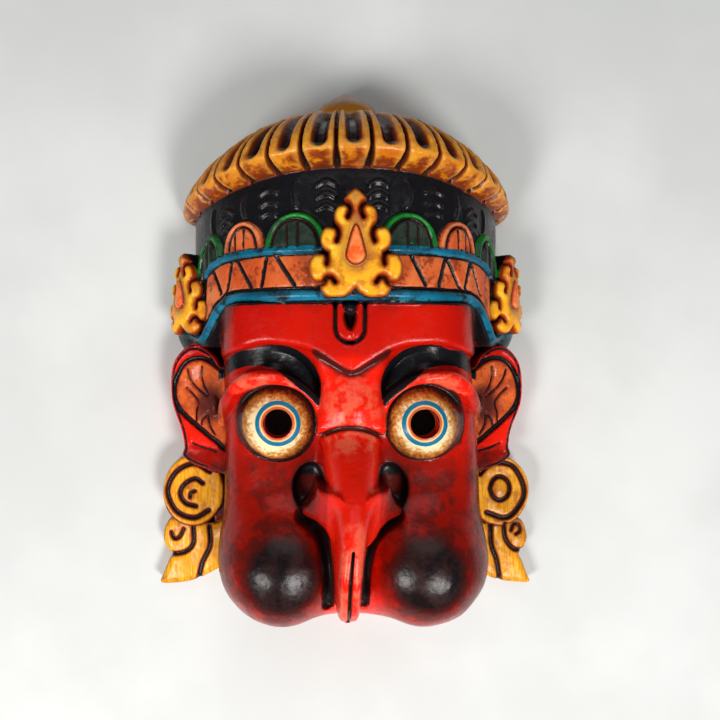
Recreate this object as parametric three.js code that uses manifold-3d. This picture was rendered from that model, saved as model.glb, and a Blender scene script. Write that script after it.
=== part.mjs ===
// A carved and painted Himalayan dance mask of a beaked bird deity, lying on its flat back.
// One block of wood: head, beak, crown, ears and ear ornaments, hollowed from behind, with pierced pupils.
// Millimetres. +X is to the viewer's right, +Y is towards the crown, +Z comes out of the face.
// The origin is on the plane of the back rim, below the middle of the whole outline.
import * as THREE from "three";
import { mergeVertices } from "three/addons/utils/BufferGeometryUtils.js";
import Module from "manifold-3d";

const wasm = await Module();
wasm.setup();

// ---- driving dimensions ----
const BEHIND = -12; // everything starts this far behind the rim plane, and is sawn off flat at the end
const WALL = 17; // thickness that hollowing leaves at the front and sides

// Head: height, half-width, depth and middle line of the plain face that the features stand on.
// The carver's face is not quite true: below the eyes it stands a little to one side of the crown.
const HEAD = [
  [-204, 36, 34, 3],
  [-201, 58, 52, 3],
  [-194, 77, 67, 3],
  [-182, 90, 78, 3.5],
  [-165, 97, 84, 3.5],
  [-140, 99, 85, 3.5],
  [-95, 99, 82, 3.5],
  [-53, 98, 80, 2],
  [0, 95.5, 86, -1],
  [44, 95.5, 92, -1],
];
const HEAD_SQUARENESS = 5;
const CHEEK = { x: 52, y: -158.5, z: 62, across: 47, tall: 46, deep: 46 };
const CHEEKS_ASIDE = 2.5; // how far the pair of cheeks stands to the same side

const EYE = { x: 52, y: -53.5, z: 62, radius: 32, opening: 28, floor: 72 };
const PUPIL_RADIUS = 9.8;

const FOREHEAD_DEPTH = 99;
const CREASE = [
  [0, -17.5],
  [12, -12.5],
  [29, -2.5],
  [45, 1],
  [62, 1.5],
  [78, -1.5],
  [97, -8],
]; // lower edge of the forehead: distance from the middle, height

const BROW_TOP = [
  [97, -13],
  [89, -6.5],
  [72, -1],
  [54, 2],
  [36, -3],
  [24, -17],
  [21.5, -29],
  [24, -41],
];
const BROW_BOTTOM = [
  [35, -30],
  [46, -21],
  [58, -14],
  [67, -12.5],
  [86, -17],
  [97, -22],
];
const BROW_FLOOR = 79;
const FOREHEAD_STANDS = 1.5; // how far the forehead stands out at the sides of the head

const LID = [
  [93, -50, 46],
  [90, -38, 62],
  [78, -25, 77],
  [61, -19.5, 83],
  [44, -24, 84],
  [31, -33, 80],
  [23, -43, 76],
]; // middle line of the heavy upper lid: across, height, depth
const LID_SECTION = { across: 7, deep: 17, segments: 10 };

// Nose and beak: height, half-width, height of the ridge above the rim plane, and how round the section is:
// 1 is round, less is squarer.
const BEAK = [
  [-8, 14, 84, 0.72],
  [-22, 22, 94, 0.72],
  [-42, 26, 101, 0.72],
  [-56, 23.5, 99, 0.72],
  [-61, 23.5, 101, 0.72],
  [-80, 24.5, 119, 0.72],
  [-100, 22, 136, 0.72],
  [-118, 16.5, 146, 0.7],
  [-138, 10.8, 148, 0.6],
  [-160, 9.3, 145, 0.5],
  [-172, 8.6, 138, 0.5],
  [-180, 7.6, 128, 0.5],
  [-184, 5.6, 119, 0.5],
];
const BEAK_ROOT = 40;
// The beak leans to one side on its way down, between these distances below y = 0.
const BEAK_LEAN = { aside: -3.6, from: 95, to: 158 };
const BEAK_SLIT = { width: 2.2, top: -134, bottom: -188, floor: 138 };
const NOSTRIL_WING = { x: 23.5, y: -116.5, z: 102, across: 13, tall: 6.5, deep: 20, turn: 0.5 };
const NOSTRIL = { x: 31, y: -98, z: 92, across: 9, tall: 14.5, deep: 20 };

// Crown: a half-round drum with bands, plaques and a ring of ribbed petals.
const DRUM = { across: 123, deep: 105, bottom: 30, top: 127 };
const BANDS = [
  { bottom: 32.5, top: 40.5, proud: 4.5 },
  { bottom: 40.5, top: 61.5, proud: 2.4 },
  { bottom: 61.5, top: 67, proud: 4.5 },
];
const BAND_INSET = 8; // the bands run out into the drum towards the rim plane by this much
const PLAQUES = [
  { turn: 19.5, wide: 41, tall: 30 },
  { turn: 38.5, wide: 34, tall: 23 },
  { turn: 55.5, wide: 27, tall: 19 },
];
const PLAQUE_PROUD = 4.2;
// The arched groove in each plaque: its outer and inner edge as shares of the plaque's width and height.
const PLAQUE_GROOVE = { wide: 0.66, tall: 0.72, low: -1, depth: 2.2 };
const PLAQUE_FIELD = { wide: 0.5, tall: 0.58, low: -2 };
const PETALS = 17;
const PETAL_RIDGE = { across: 133, deep: 124, height: 131 };
const PETAL_DROOP = 21; // how much lower the ring's edge is at its two ends than in the middle
// From the underside over the ridge to the top: share of the ridge's radius, height above it, groove depth.
const PETAL_PATH = [
  [0.88, -9, 0],
  [1, 0, 0],
  [0.985, 9, 0],
  [0.96, 14, 5],
  [0.9, 24, 6],
  [0.78, 34, 6],
  [0.45, 44, 0],
];
const PETAL_GAP = 4; // depth of the nick between two petals
// Across one petal: place from edge to edge, share of the groove's depth, share of the nick's depth.
const PETAL_SECTION = [
  [-1, 0, 1],
  [-0.52, 0, 0],
  [-0.3, 1, 0],
  [0.3, 1, 0],
  [0.52, 0, 0],
];
const FINIAL = [
  [0, 150],
  [58, 158],
  [47, 170],
  [31, 178],
  [25.5, 183],
  [24, 187],
  [21, 191.5],
  [14.5, 196.5],
  [7.5, 201],
  [2.5, 203.8],
  [0, 204.5],
]; // radius, height
const FINIAL_AXIS = 25; // how far the finial's axis stands in front of the rim plane

// Flame-shaped jewel: lobes of one half as across, up, radius, first and last degree of the arc, clockwise;
// then the comma-shaped slots between them as across, up, half-width, half-height.
const JEWEL = {
  tip: 38.5,
  notch: -28,
  lobes: [
    [10, 22, 6, 130, -20],
    [18, 7.5, 6.6, 85, -25],
    [24, -12.5, 7.2, 95, -65],
    [15.5, -28, 8, 20, -150],
  ],
  slots: [
    [4.4, 24.5, 1.5, 5],
    [13.2, 8.4, 1.5, 4.6],
    [19.6, -7.4, 1.5, 4.6],
    [17.3, -19.8, 4.4, 1.5],
  ],
  slotDepth: 4,
  thickness: 19,
  gem: { y: 1, across: 7, tall: 11, proud: 3.5 },
  gemPoint: { low: 6, high: 18.5, half: 5, proud: 1.8 },
};
const FRONT_JEWEL = { y: 66.5, z: 123 };
const SIDE_JEWEL = { x: 128, y: 41, z: 41, turn: 46, scale: 0.83, slots: 2 };
const SIDE_PAD = { x: 112, y: 20, z: 10, across: 25, tall: 30, deep: 27 };

// Forehead mark: a U-shaped groove.
const MARK = { half: 10.5, top: 31, bottom: 2.5, groove: 3, cut: 4 };

// Ears and ear ornaments: flat plates behind the face.
const EAR = {
  outline: [
    [88, -14],
    [103.5, -6],
    [114, 1.8],
    [123, 2.3],
    [132, -3.5],
    [138, -14],
    [139.5, -32],
    [135.5, -51],
    [129.5, -69],
    [128.5, -88],
    [88, -88],
  ],
  hollow: [
    [92, -20],
    [104, -14],
    [115, -9],
    [127, -14],
    [134, -30],
    [130, -46],
    [118, -57],
    [102, -68],
    [92, -71],
  ],
  back: 4,
  front: 34,
  hollowCut: 7,
};
const DISC = { x: 122.5, y: -113, across: 24.5, tall: 28.5, front: 24, back: 2 };
const GROOVE = 3; // width and depth of the grooves cut in the ear ornaments
// Grooves in the two discs: a ring in both, a smaller ring inside it on +X and a spiral inside it on -X.
const DISC_RING = 0.78;
const SMALL_RING = { aside: 1, across: 9, tall: 10.5 };
const SPIRAL = { start: 27, end: 267, steps: 8, across: 10, tall: 12, tightening: 0.4 };
const LEAF = {
  outline: [
    [94, -132],
    [118, -138],
    [136, -138],
    [143.5, -146],
    [144.5, -156],
    [138.5, -166],
    [146, -176],
    [150.5, -189],
    [136, -188],
    [118, -183],
    [96, -176],
  ],
  vein: [
    [112, -139],
    [113, -152],
    [117, -163],
    [120, -178],
  ],
  front: 19,
  back: 2,
};
// The wood left between the side of the face and the ear ornament.
const EAR_WEB = { inner: 88, outer: 108, waist: 103, top: -78, bottom: -142, back: 4, front: 16 };

// Hollow behind the face, as HEAD, and the hollows behind the eyes, cheeks and nose.
const HOLLOW_FRONT = 60;
const HOLLOW_CHIN = -150; // below this the hollow follows the head one wall thickness higher
const HOLLOW_SQUARENESS = 2.8;
const EYE_HOLLOW_RADIUS = 21;
const EYE_HOLLOW_DEPTH = 58;
const CHEEK_HOLLOW_SHARE = 0.62;
const NOSE_HOLLOW = { y: -98, z: 48, across: 15, tall: 36, deep: 58 };
const CROWN_HOLLOW = { across: 100, deep: 84, bottom: 26, top: 138 };

// ---- closed meshes and boolean joins ----
const mirrored = (points) => points.map(([x, ...rest]) => [-x, ...rest]);
const lerp = THREE.MathUtils.lerp;
const radians = THREE.MathUtils.degToRad;

function solid(geometry, matrix) {
  const plain = new THREE.BufferGeometry();
  plain.setAttribute("position", geometry.getAttribute("position").clone());
  if (geometry.index) plain.setIndex(geometry.index.clone());
  if (matrix) plain.applyMatrix4(matrix);
  const merged = mergeVertices(plain, 1e-4);
  const vertices = merged.getAttribute("position").array;
  const triangles = [];
  const index = merged.index.array;
  for (let i = 0; i < index.length; i += 3) {
    const [a, b, c] = [index[i], index[i + 1], index[i + 2]];
    if (a !== b && b !== c && c !== a) triangles.push(a, b, c);
  }
  const make = (list) =>
    new wasm.Manifold(
      new wasm.Mesh({ numProp: 3, vertProperties: vertices, triVerts: new Uint32Array(list) }),
    );
  const body = make(triangles);
  return body.volume() > 0 ? body : make(triangles.reverse());
}

function geometryOf(body) {
  const { vertProperties, triVerts } = body.getMesh();
  const geometry = new THREE.BufferGeometry();
  geometry.setAttribute("position", new THREE.BufferAttribute(vertProperties, 3));
  geometry.setIndex(new THREE.BufferAttribute(triVerts, 1));
  return geometry;
}

const union = (bodies) => bodies.reduce((all, one) => all.add(one));
const moved = (body, matrix) => solid(geometryOf(body), matrix);
const otherSide = (body) => moved(body, new THREE.Matrix4().makeScale(-1, 1, 1));
const bothSides = (body) => body.add(otherSide(body));

// Skins a stack of closed rings that all have the same number of points, and closes the two ends.
function loft(rings) {
  const count = rings[0].length;
  const positions = rings.flat(2);
  const triangles = [];
  for (let r = 0; r + 1 < rings.length; r++)
    for (let i = 0; i < count; i++) {
      const j = (i + 1) % count;
      const [a, b, c, d] = [r * count + i, r * count + j, (r + 1) * count + i, (r + 1) * count + j];
      triangles.push(a, b, d, a, d, c);
    }
  for (const r of [0, rings.length - 1]) {
    const middle = positions.length / 3;
    for (const axis of [0, 1, 2])
      positions.push(rings[r].reduce((sum, point) => sum + point[axis], 0) / count);
    for (let i = 0; i < count; i++) {
      const [a, b] = [r * count + i, r * count + ((i + 1) % count)];
      triangles.push(...(r ? [middle, a, b] : [middle, b, a]));
    }
  }
  const geometry = new THREE.BufferGeometry();
  geometry.setAttribute("position", new THREE.BufferAttribute(new Float32Array(positions), 3));
  geometry.setIndex(triangles);
  return geometry;
}

// A half superellipse across the front at one height, closed behind the rim plane.
function halfRound(height, across, deep, squareness, steps, middle = 0) {
  const ring = [[middle + across, height, BEHIND]];
  for (let i = 0; i <= steps; i++) {
    const angle = Math.PI / 2 - (Math.PI * i) / steps;
    const [s, c] = [Math.sin(angle), Math.max(Math.cos(angle), 0)];
    const x = Math.sign(s) * Math.abs(s) ** (2 / squareness) * across;
    ring.push([middle + x, height, c ** (2 / squareness) * deep]);
  }
  ring.push([middle - across, height, BEHIND]);
  return ring;
}

function headBody(stations, steps) {
  const ring = ([y, across, deep, middle]) =>
    halfRound(y, across, deep, HEAD_SQUARENESS, steps, middle);
  return solid(loft(stations.map(ring)));
}

function drumBody(bottom, top, across, deep, steps = 18) {
  return solid(loft([bottom, top].map((y) => halfRound(y, across, deep, 2, steps))));
}

const placed = (x, y, z) => new THREE.Matrix4().makeTranslation(x, y, z);

function ellipsoid({ x, y, z, across, tall, deep, turn = 0 }, segments = 18) {
  const matrix = placed(x, y, z)
    .multiply(new THREE.Matrix4().makeRotationZ(turn))
    .scale(new THREE.Vector3(across, tall, deep));
  return solid(new THREE.SphereGeometry(1, segments, Math.round(segments * 0.6)), matrix);
}

function smoothShape(points, closed = false) {
  const corners = points.map(([x, y]) => new THREE.Vector3(x, y, 0));
  return new THREE.CatmullRomCurve3(corners, closed, "centripetal")
    .getPoints(Math.round(points.length * 1.4))
    .map((p) => [p.x, p.y]);
}

function plate(points, back, front, bevel = 0) {
  const shape = new THREE.Shape(points.map(([x, y]) => new THREE.Vector2(x, y)));
  const geometry = new THREE.ExtrudeGeometry(shape, {
    depth: front - back - bevel,
    steps: 1,
    bevelEnabled: bevel > 0,
    bevelThickness: bevel,
    bevelSize: bevel,
    bevelOffset: -bevel,
    bevelSegments: 1,
    curveSegments: 10,
  });
  return solid(geometry, placed(0, 0, back));
}

// A straight-sided cut that follows a line of points.
function grooveAlong(points, width, back, front) {
  const line = points.map(([x, y]) => new THREE.Vector2(x, y));
  const sides = line.map((p, i) => {
    const ahead = line[Math.min(i + 1, line.length - 1)];
    const behind = line[Math.max(i - 1, 0)];
    const across = ahead.clone().sub(behind).normalize().multiplyScalar(width / 2);
    return [
      [p.x - across.y, p.y + across.x],
      [p.x + across.y, p.y - across.x],
    ];
  });
  const outline = [...sides.map(([left]) => left), ...sides.map(([, right]) => right).reverse()];
  return plate(outline, back, front);
}

function oval(x, y, across, tall, segments) {
  const ring = new THREE.Path().absellipse(x, y, across, tall, 0, 2 * Math.PI).getPoints(segments);
  return ring.slice(0, -1).map((p) => [p.x, p.y]);
}

function ovalPlate(x, y, across, tall, back, front, segments = 16) {
  return plate(oval(x, y, across, tall, segments), back, front);
}

function ovalGroove(x, y, across, tall, width, back, front, segments = 16) {
  return ovalPlate(x, y, across, tall, back, front, segments).subtract(
    ovalPlate(x, y, across - width, tall - width, back - 1, front + 1, segments),
  );
}

// ---- face ----
function forehead() {
  const edge = smoothShape(CREASE);
  const outline = [...mirrored(edge).reverse(), ...edge.slice(1), [97, 44], [-97, 44]];
  const front = HEAD.map(([y, across, , middle]) => [y, across + FOREHEAD_STANDS, FOREHEAD_DEPTH, middle]);
  return plate(outline, 40, FOREHEAD_DEPTH + 5).intersect(headBody(front.slice(3), 16));
}

function browHollow() {
  return plate([...smoothShape(BROW_TOP), ...smoothShape(BROW_BOTTOM)], BROW_FLOOR, 130);
}

function lid() {
  const path = new THREE.CatmullRomCurve3(LID.map((p) => new THREE.Vector3(...p)));
  const { across, deep, segments } = LID_SECTION;
  // Each ring of the tube stands square to the path's plan, so that its long axis runs in depth.
  const rings = path.getPoints(8).map((point, i, all) => {
    const ahead = all[Math.min(i + 1, all.length - 1)];
    const behind = all[Math.max(i - 1, 0)];
    const side = new THREE.Vector3(behind.y - ahead.y, ahead.x - behind.x, 0).setLength(across);
    return Array.from({ length: segments }, (_, k) => {
      const angle = (2 * Math.PI * k) / segments;
      const spot = point.clone().addScaledVector(side, Math.cos(angle));
      return [spot.x, spot.y, spot.z + deep * Math.sin(angle)];
    });
  });
  return solid(loft(rings));
}

function eyeSocket() {
  return ovalPlate(EYE.x, EYE.y, EYE.opening, EYE.opening, EYE.floor, 130);
}

function eyeball() {
  const { x, y, z, radius } = EYE;
  return ellipsoid({ x, y, z, across: radius, tall: radius, deep: radius }, 15);
}

function beakMiddle(y) {
  return BEAK_LEAN.aside * THREE.MathUtils.smoothstep(-y, BEAK_LEAN.from, BEAK_LEAN.to);
}

function beak() {
  const steps = 10;
  const rings = BEAK.map(([y, half, ridge, roundness]) => {
    const ring = [];
    const middle = beakMiddle(y);
    for (let i = 0; i <= steps; i++) {
      const angle = Math.PI / 2 - (Math.PI * i) / steps;
      const [s, c] = [Math.sin(angle), Math.max(Math.cos(angle), 0)];
      const across = Math.sign(s) * Math.abs(s) ** roundness * half;
      ring.push([middle + across, y, lerp(BEAK_ROOT, ridge, c ** roundness)]);
    }
    ring.push([middle - half, y, BEAK_ROOT - 10], [middle + half, y, BEAK_ROOT - 10]);
    return ring;
  });
  const { width, top, bottom, floor } = BEAK_SLIT;
  const ends = [bottom, top].map((y) => [[beakMiddle(y) - width / 2, y], [beakMiddle(y) + width / 2, y]]);
  const slit = plate([...ends[0], ...ends[1].reverse()], floor, 170);
  return solid(loft(rings)).subtract(slit);
}

function foreheadMark() {
  const { half, top, bottom, groove, cut } = MARK;
  const u = (h, low) => {
    const arch = new THREE.Path().absarc(0, low + h, h, Math.PI, 2 * Math.PI).getPoints(8);
    return [[-h, top], ...arch.map((p) => [p.x, p.y]), [h, top]];
  };
  const floor = FOREHEAD_DEPTH - cut;
  return plate(u(half, bottom), floor, 120).subtract(plate(u(half - groove, bottom + groove), 40, 130));
}

// ---- crown ----
// The ring of petals and the dome above it, skinned as one stack of scalloped half rings.
function petalRing() {
  const { across, deep, height } = PETAL_RIDGE;
  const rings = PETAL_PATH.map(([share, rise, groove]) => {
    const lowered = PETAL_DROOP * THREE.MathUtils.smoothstep(share, 0.45, 0.92);
    const ring = [[across * share, height - lowered + rise, BEHIND]];
    for (let n = 0; n < PETALS; n++)
      for (const [aside, inGroove, inGap] of PETAL_SECTION) {
        const angle = ((n + 0.5 + aside / 2) * Math.PI) / PETALS;
        const sunk = groove * inGroove + PETAL_GAP * share * inGap;
        const droop = lowered * Math.abs(Math.cos(angle)) ** 2.5;
        ring.push([
          Math.cos(angle) * (across * share - sunk),
          height - droop + rise - (share < 0.95 ? sunk * 0.6 : 0),
          Math.sin(angle) * (deep * share - sunk),
        ]);
      }
    ring.push([-across * share, height - lowered + rise, BEHIND]);
    return ring;
  });
  return solid(loft(rings));
}

function finial() {
  const profile = FINIAL.map(([radius, height]) => new THREE.Vector2(radius, height));
  return solid(new THREE.LatheGeometry(profile, 16), placed(0, 0, FINIAL_AXIS));
}

function plaque({ turn, wide, tall }, side) {
  const arch = (w, h, low) => {
    const curve = new THREE.Path().absellipse(0, low, w / 2, h, 0, Math.PI).getPoints(6);
    return curve.map((p) => [p.x, p.y]);
  };
  const share = (part) => arch(wide * part.wide, tall * part.tall, part.low);
  const floor = PLAQUE_PROUD - PLAQUE_GROOVE.depth;
  const groove = plate(share(PLAQUE_GROOVE), floor, PLAQUE_PROUD + 2)
    .subtract(plate(share(PLAQUE_FIELD), floor - 1, PLAQUE_PROUD + 3));
  const body = plate(arch(wide, tall, 0), BEHIND, PLAQUE_PROUD).subtract(groove);
  const angle = radians(turn) * side;
  const matrix = placed(Math.sin(angle) * DRUM.across, BANDS[2].top - 2, Math.cos(angle) * DRUM.deep);
  // The plaque lies along the drum, whose outward direction differs a little from the angle to it.
  const outward = Math.atan2(Math.sin(angle) / DRUM.across, Math.cos(angle) / DRUM.deep);
  matrix.multiply(new THREE.Matrix4().makeRotationY(outward));
  return moved(body, matrix);
}

function jewel(slots) {
  const { tip, notch, lobes, thickness, slotDepth, gem, gemPoint } = JEWEL;
  const arcs = lobes.flatMap(([x, y, radius, from, to]) =>
    new THREE.Path().absarc(x, y, radius, radians(from), radians(to), true).getPoints(3));
  const half = arcs.map((p) => [p.x, p.y]);
  const outline = [[0, tip], ...half, [0, notch], ...mirrored(half).reverse()];
  let body = plate(outline, -thickness, 0);
  for (const [x, y, across, tall] of slots)
    for (const side of [-1, 1])
      body = body.subtract(ovalPlate(side * x, y, across, tall, -slotDepth, slotDepth, 5));
  const stone = ellipsoid({ x: 0, z: 0, deep: gem.proud, ...gem }, 8);
  const point = [[-gemPoint.half, gemPoint.low], [gemPoint.half, gemPoint.low], [0, gemPoint.high]];
  return body.add(stone).add(plate(point, -gemPoint.proud, gemPoint.proud, gemPoint.proud / 2));
}

function sideJewel(side) {
  const { x, y, z, turn, scale, slots } = SIDE_JEWEL;
  const matrix = placed(side * x, y, z)
    .multiply(new THREE.Matrix4().makeRotationY(radians(turn) * side))
    .scale(new THREE.Vector3(scale, scale, 1));
  return moved(jewel(JEWEL.slots.slice(0, slots)), matrix);
}

function crown() {
  const bands = BANDS.map(({ bottom, top, proud }) =>
    drumBody(bottom, top, DRUM.across + proud - BAND_INSET, DRUM.deep + proud));
  return union([
    drumBody(DRUM.bottom, DRUM.top, DRUM.across, DRUM.deep),
    ...bands,
    finial(),
    petalRing(),
    ...PLAQUES.flatMap((p) => [plaque(p, -1), plaque(p, 1)]),
    moved(jewel(JEWEL.slots), placed(0, FRONT_JEWEL.y, FRONT_JEWEL.z)),
    bothSides(ellipsoid(SIDE_PAD, 10)),
    sideJewel(-1),
    sideJewel(1),
  ]);
}

// ---- ears and ear ornaments ----
function ear() {
  const rim = [...smoothShape(EAR.outline.slice(0, -1)), EAR.outline.at(-1)];
  const body = plate(rim, EAR.back, EAR.front, 2);
  return body.subtract(plate(smoothShape(EAR.hollow), EAR.front - EAR.hollowCut, EAR.front + 5));
}

function earWeb() {
  const { inner, outer, waist, top, bottom, back, front } = EAR_WEB;
  const edge = [[inner, top], [outer, top], [waist, (top + bottom) / 2], [outer, bottom], [inner, bottom]];
  return plate(edge, back, front);
}

function spiralGroove() {
  const { start, end, steps, across, tall, tightening } = SPIRAL;
  const line = Array.from({ length: steps + 1 }, (_, i) => {
    const angle = radians(lerp(start, end, i / steps));
    const share = 1 - (tightening * i) / steps;
    return [DISC.x + Math.cos(angle) * across * share, DISC.y + Math.sin(angle) * tall * share];
  });
  return grooveAlong(line, GROOVE, DISC.front - GROOVE, DISC.front + 2);
}

function earOrnament(side) {
  const { x, y, across, tall, front, back } = DISC;
  const ringGroove = (aside, width, height) =>
    ovalGroove(x + aside, y, width, height, GROOVE, front - GROOVE, front + 2);
  const disc = ovalPlate(x, y, across, tall, back, front)
    .subtract(ringGroove(0, across * DISC_RING, tall * DISC_RING))
    .subtract(side > 0 ? ringGroove(SMALL_RING.aside, SMALL_RING.across, SMALL_RING.tall) : spiralGroove());
  const leaf = plate(smoothShape(LEAF.outline, true), LEAF.back, LEAF.front)
    .subtract(grooveAlong(smoothShape(LEAF.vein), GROOVE, LEAF.front - GROOVE, LEAF.front + 5));
  const body = disc.add(leaf);
  return side > 0 ? body : otherSide(body);
}

// ---- hollowing ----
function hollow() {
  const rings = HEAD.slice(1).map(([y, across, deep, middle]) => {
    const height = y < HOLLOW_CHIN ? y + WALL : y;
    const front = Math.min(deep - WALL, HOLLOW_FRONT);
    return halfRound(height, across - WALL, front, HOLLOW_SQUARENESS, 10, middle);
  });
  const eyeRoom = { across: EYE_HOLLOW_RADIUS, tall: EYE_HOLLOW_RADIUS, deep: EYE_HOLLOW_RADIUS };
  const behindEye = { x: EYE.x, y: EYE.y, z: EYE_HOLLOW_DEPTH, ...eyeRoom };
  const behindCheek = {
    ...CHEEK,
    across: CHEEK.across * CHEEK_HOLLOW_SHARE,
    tall: CHEEK.tall * CHEEK_HOLLOW_SHARE,
    deep: CHEEK.deep * CHEEK_HOLLOW_SHARE,
  };
  const { bottom, top, across, deep } = CROWN_HOLLOW;
  return union([
    solid(loft(rings)),
    drumBody(bottom, top, across, deep, 10),
    bothSides(ellipsoid(behindEye, 12)),
    moved(bothSides(ellipsoid(behindCheek, 8)), placed(CHEEKS_ASIDE, 0, 0)),
    ellipsoid({ x: 0, ...NOSE_HOLLOW }, 8),
  ]);
}

function pupils() {
  return bothSides(ovalPlate(EYE.x, EYE.y, PUPIL_RADIUS, PUPIL_RADIUS, 20, 130, 20));
}

// ---- the whole mask ----
function carve() {
  const face = headBody(HEAD, 16)
    .add(moved(bothSides(ellipsoid(CHEEK, 15)), placed(CHEEKS_ASIDE, 0, 0)))
    .add(forehead())
    .subtract(bothSides(browHollow()))
    .subtract(bothSides(ellipsoid(NOSTRIL, 9)))
    .add(bothSides(lid()))
    .subtract(bothSides(eyeSocket()))
    .add(bothSides(eyeball()))
    .add(beak())
    .add(bothSides(ellipsoid(NOSTRIL_WING, 9)))
    .subtract(foreheadMark());
  const whole = union([face, crown(), bothSides(ear().add(earWeb())), earOrnament(-1), earOrnament(1)]);
  const room = new THREE.BoxGeometry(400, 500, 300);
  return whole.subtract(hollow()).subtract(pupils()).intersect(solid(room, placed(0, 0, 150)));
}

function meshOf(body, name, material) {
  const geometry = geometryOf(body);
  geometry.computeVertexNormals();
  const mesh = new THREE.Mesh(geometry, material);
  mesh.name = name;
  return mesh;
}

const redLacquer = new THREE.MeshStandardMaterial({ color: 0xb81a0c, roughness: 0.4, metalness: 0 });
const mask = new THREE.Group();
mask.add(meshOf(carve(), "mask", redLacquer));

export default mask;
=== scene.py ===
"""A carved, painted and varnished dance mask of a beaked bird deity, lying on its flat back.

The mask is carved as the real one is: one block that bodies are joined to and cut from. The block is a
field of signed distances on a grid, in millimetres in the frame of the CAD model, and its surface is taken
out as one mesh. Every painted area is a distance stored on the mesh, which the one material turns into
edges, wear and stain, and into painted shade and highlights.
"""
import math

import bpy
import numpy as np
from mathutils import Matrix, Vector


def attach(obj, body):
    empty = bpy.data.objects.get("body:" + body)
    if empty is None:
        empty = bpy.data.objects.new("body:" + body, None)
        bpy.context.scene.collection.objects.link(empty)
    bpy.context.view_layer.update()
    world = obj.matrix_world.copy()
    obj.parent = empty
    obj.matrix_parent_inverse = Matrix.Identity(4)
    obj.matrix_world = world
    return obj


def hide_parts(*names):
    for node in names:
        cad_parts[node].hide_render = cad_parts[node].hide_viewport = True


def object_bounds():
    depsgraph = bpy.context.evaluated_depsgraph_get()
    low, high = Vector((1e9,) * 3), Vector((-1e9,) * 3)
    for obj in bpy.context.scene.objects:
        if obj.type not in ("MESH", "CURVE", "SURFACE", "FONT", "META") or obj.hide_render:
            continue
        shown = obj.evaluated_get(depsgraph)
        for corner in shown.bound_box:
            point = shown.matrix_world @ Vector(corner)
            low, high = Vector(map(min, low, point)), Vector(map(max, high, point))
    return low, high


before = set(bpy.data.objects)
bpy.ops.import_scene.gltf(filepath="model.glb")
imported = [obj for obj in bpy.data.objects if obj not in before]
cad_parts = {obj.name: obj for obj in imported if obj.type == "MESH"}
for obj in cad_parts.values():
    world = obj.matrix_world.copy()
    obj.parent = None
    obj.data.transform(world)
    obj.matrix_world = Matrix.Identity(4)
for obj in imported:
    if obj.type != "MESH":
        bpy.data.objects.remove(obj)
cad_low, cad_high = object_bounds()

import openvdb
from mathutils import Vector

MM = 0.001
SEED = 7
MOST_TRIANGLES = 194000

# ---- the grid that the block is carved in ----
STEP = 1.0
MARGIN = 6.0
HALF_X = STEP * math.ceil((cad_high.x / MM + MARGIN) / STEP)
HALF_Y = STEP * math.ceil((cad_high.y / MM + MARGIN) / STEP)
TOP_Z = cad_high.z / MM + MARGIN
AXES = (
    np.arange(-HALF_X, HALF_X + STEP, STEP, dtype=np.float32),
    np.arange(-HALF_Y, HALF_Y + STEP, STEP, dtype=np.float32),
    np.arange(-2 * STEP, TOP_Z + STEP, STEP, dtype=np.float32),
)
OUTSIDE = 60.0
field = np.full([len(a) for a in AXES], OUTSIDE, np.float32)


def soft_min(a, b, soft):
    """The lower of two distances, rounded where they are within `soft` of each other."""
    lower = np.minimum(a, b)
    if not soft:
        return lower
    near = np.maximum(soft - np.abs(a - b), 0)
    return lower - near * near / (4 * soft)


def soft_max(a, b, soft):
    return -soft_min(-a, -b, soft)


def ease(value, start, end):
    """0 before start, 1 after end, smooth between them."""
    t = np.clip((value - start) / (end - start), 0, 1)
    return t * t * (3 - 2 * t)


def hump(distance, reach):
    """1 at no distance, falling to 0 at `reach` in a round curve."""
    return np.clip(1 - (distance / reach) ** 2, 0, 1)


class Block:
    """The grid inside a box. On side -1 it is the mirrored box, and x counts outwards there too."""

    def __init__(self, x, y, z, side=1):
        spans = (sorted(side * v for v in x), y, z)
        self.at = tuple(
            slice(max(int(np.searchsorted(axis, low)), 0), int(np.searchsorted(axis, high, "right")))
            for axis, (low, high) in zip(AXES, spans)
        )
        self.x = side * AXES[0][self.at[0]][:, None, None]
        self.y = AXES[1][self.at[1]][None, :, None]
        self.z = AXES[2][self.at[2]][None, None, :]
        self.places = (self.x, self.y, self.z)

    def add(self, body, soft=0.0):
        field[self.at] = soft_min(field[self.at], body, soft)

    def cut(self, body, soft=0.0):
        field[self.at] = soft_max(field[self.at], -body, soft)

    def sink(self, depth):
        """Lowers the surface by `depth`, or raises it where that is negative."""
        field[self.at] += depth


# ---- curves and outlines in a plane ----
def spline(points, closed=False, per=7):
    """Points on a smooth curve through the given ones."""
    p = np.asarray(points, float)
    p = np.vstack([p[-1:], p, p[:2]]) if closed else np.vstack([2 * p[0] - p[1], p, 2 * p[-1] - p[-2]])
    t = (np.arange(per) / per)[:, None]
    parts = [
        0.5 * (2 * b + (c - a) * t + (2 * a - 5 * b + 4 * c - d) * t**2 + (3 * b - a - 3 * c + d) * t**3)
        for a, b, c, d in zip(p[:-3], p[1:-2], p[2:-1], p[3:])
    ]
    return np.vstack(parts if closed else parts + [p[-2:-1]])


def profile(points, at, column=1):
    """A value along a smooth curve whose first column is the place, increasing."""
    line = spline(points)
    return np.interp(at, line[:, 0], line[:, column]).astype(np.float32)


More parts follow.
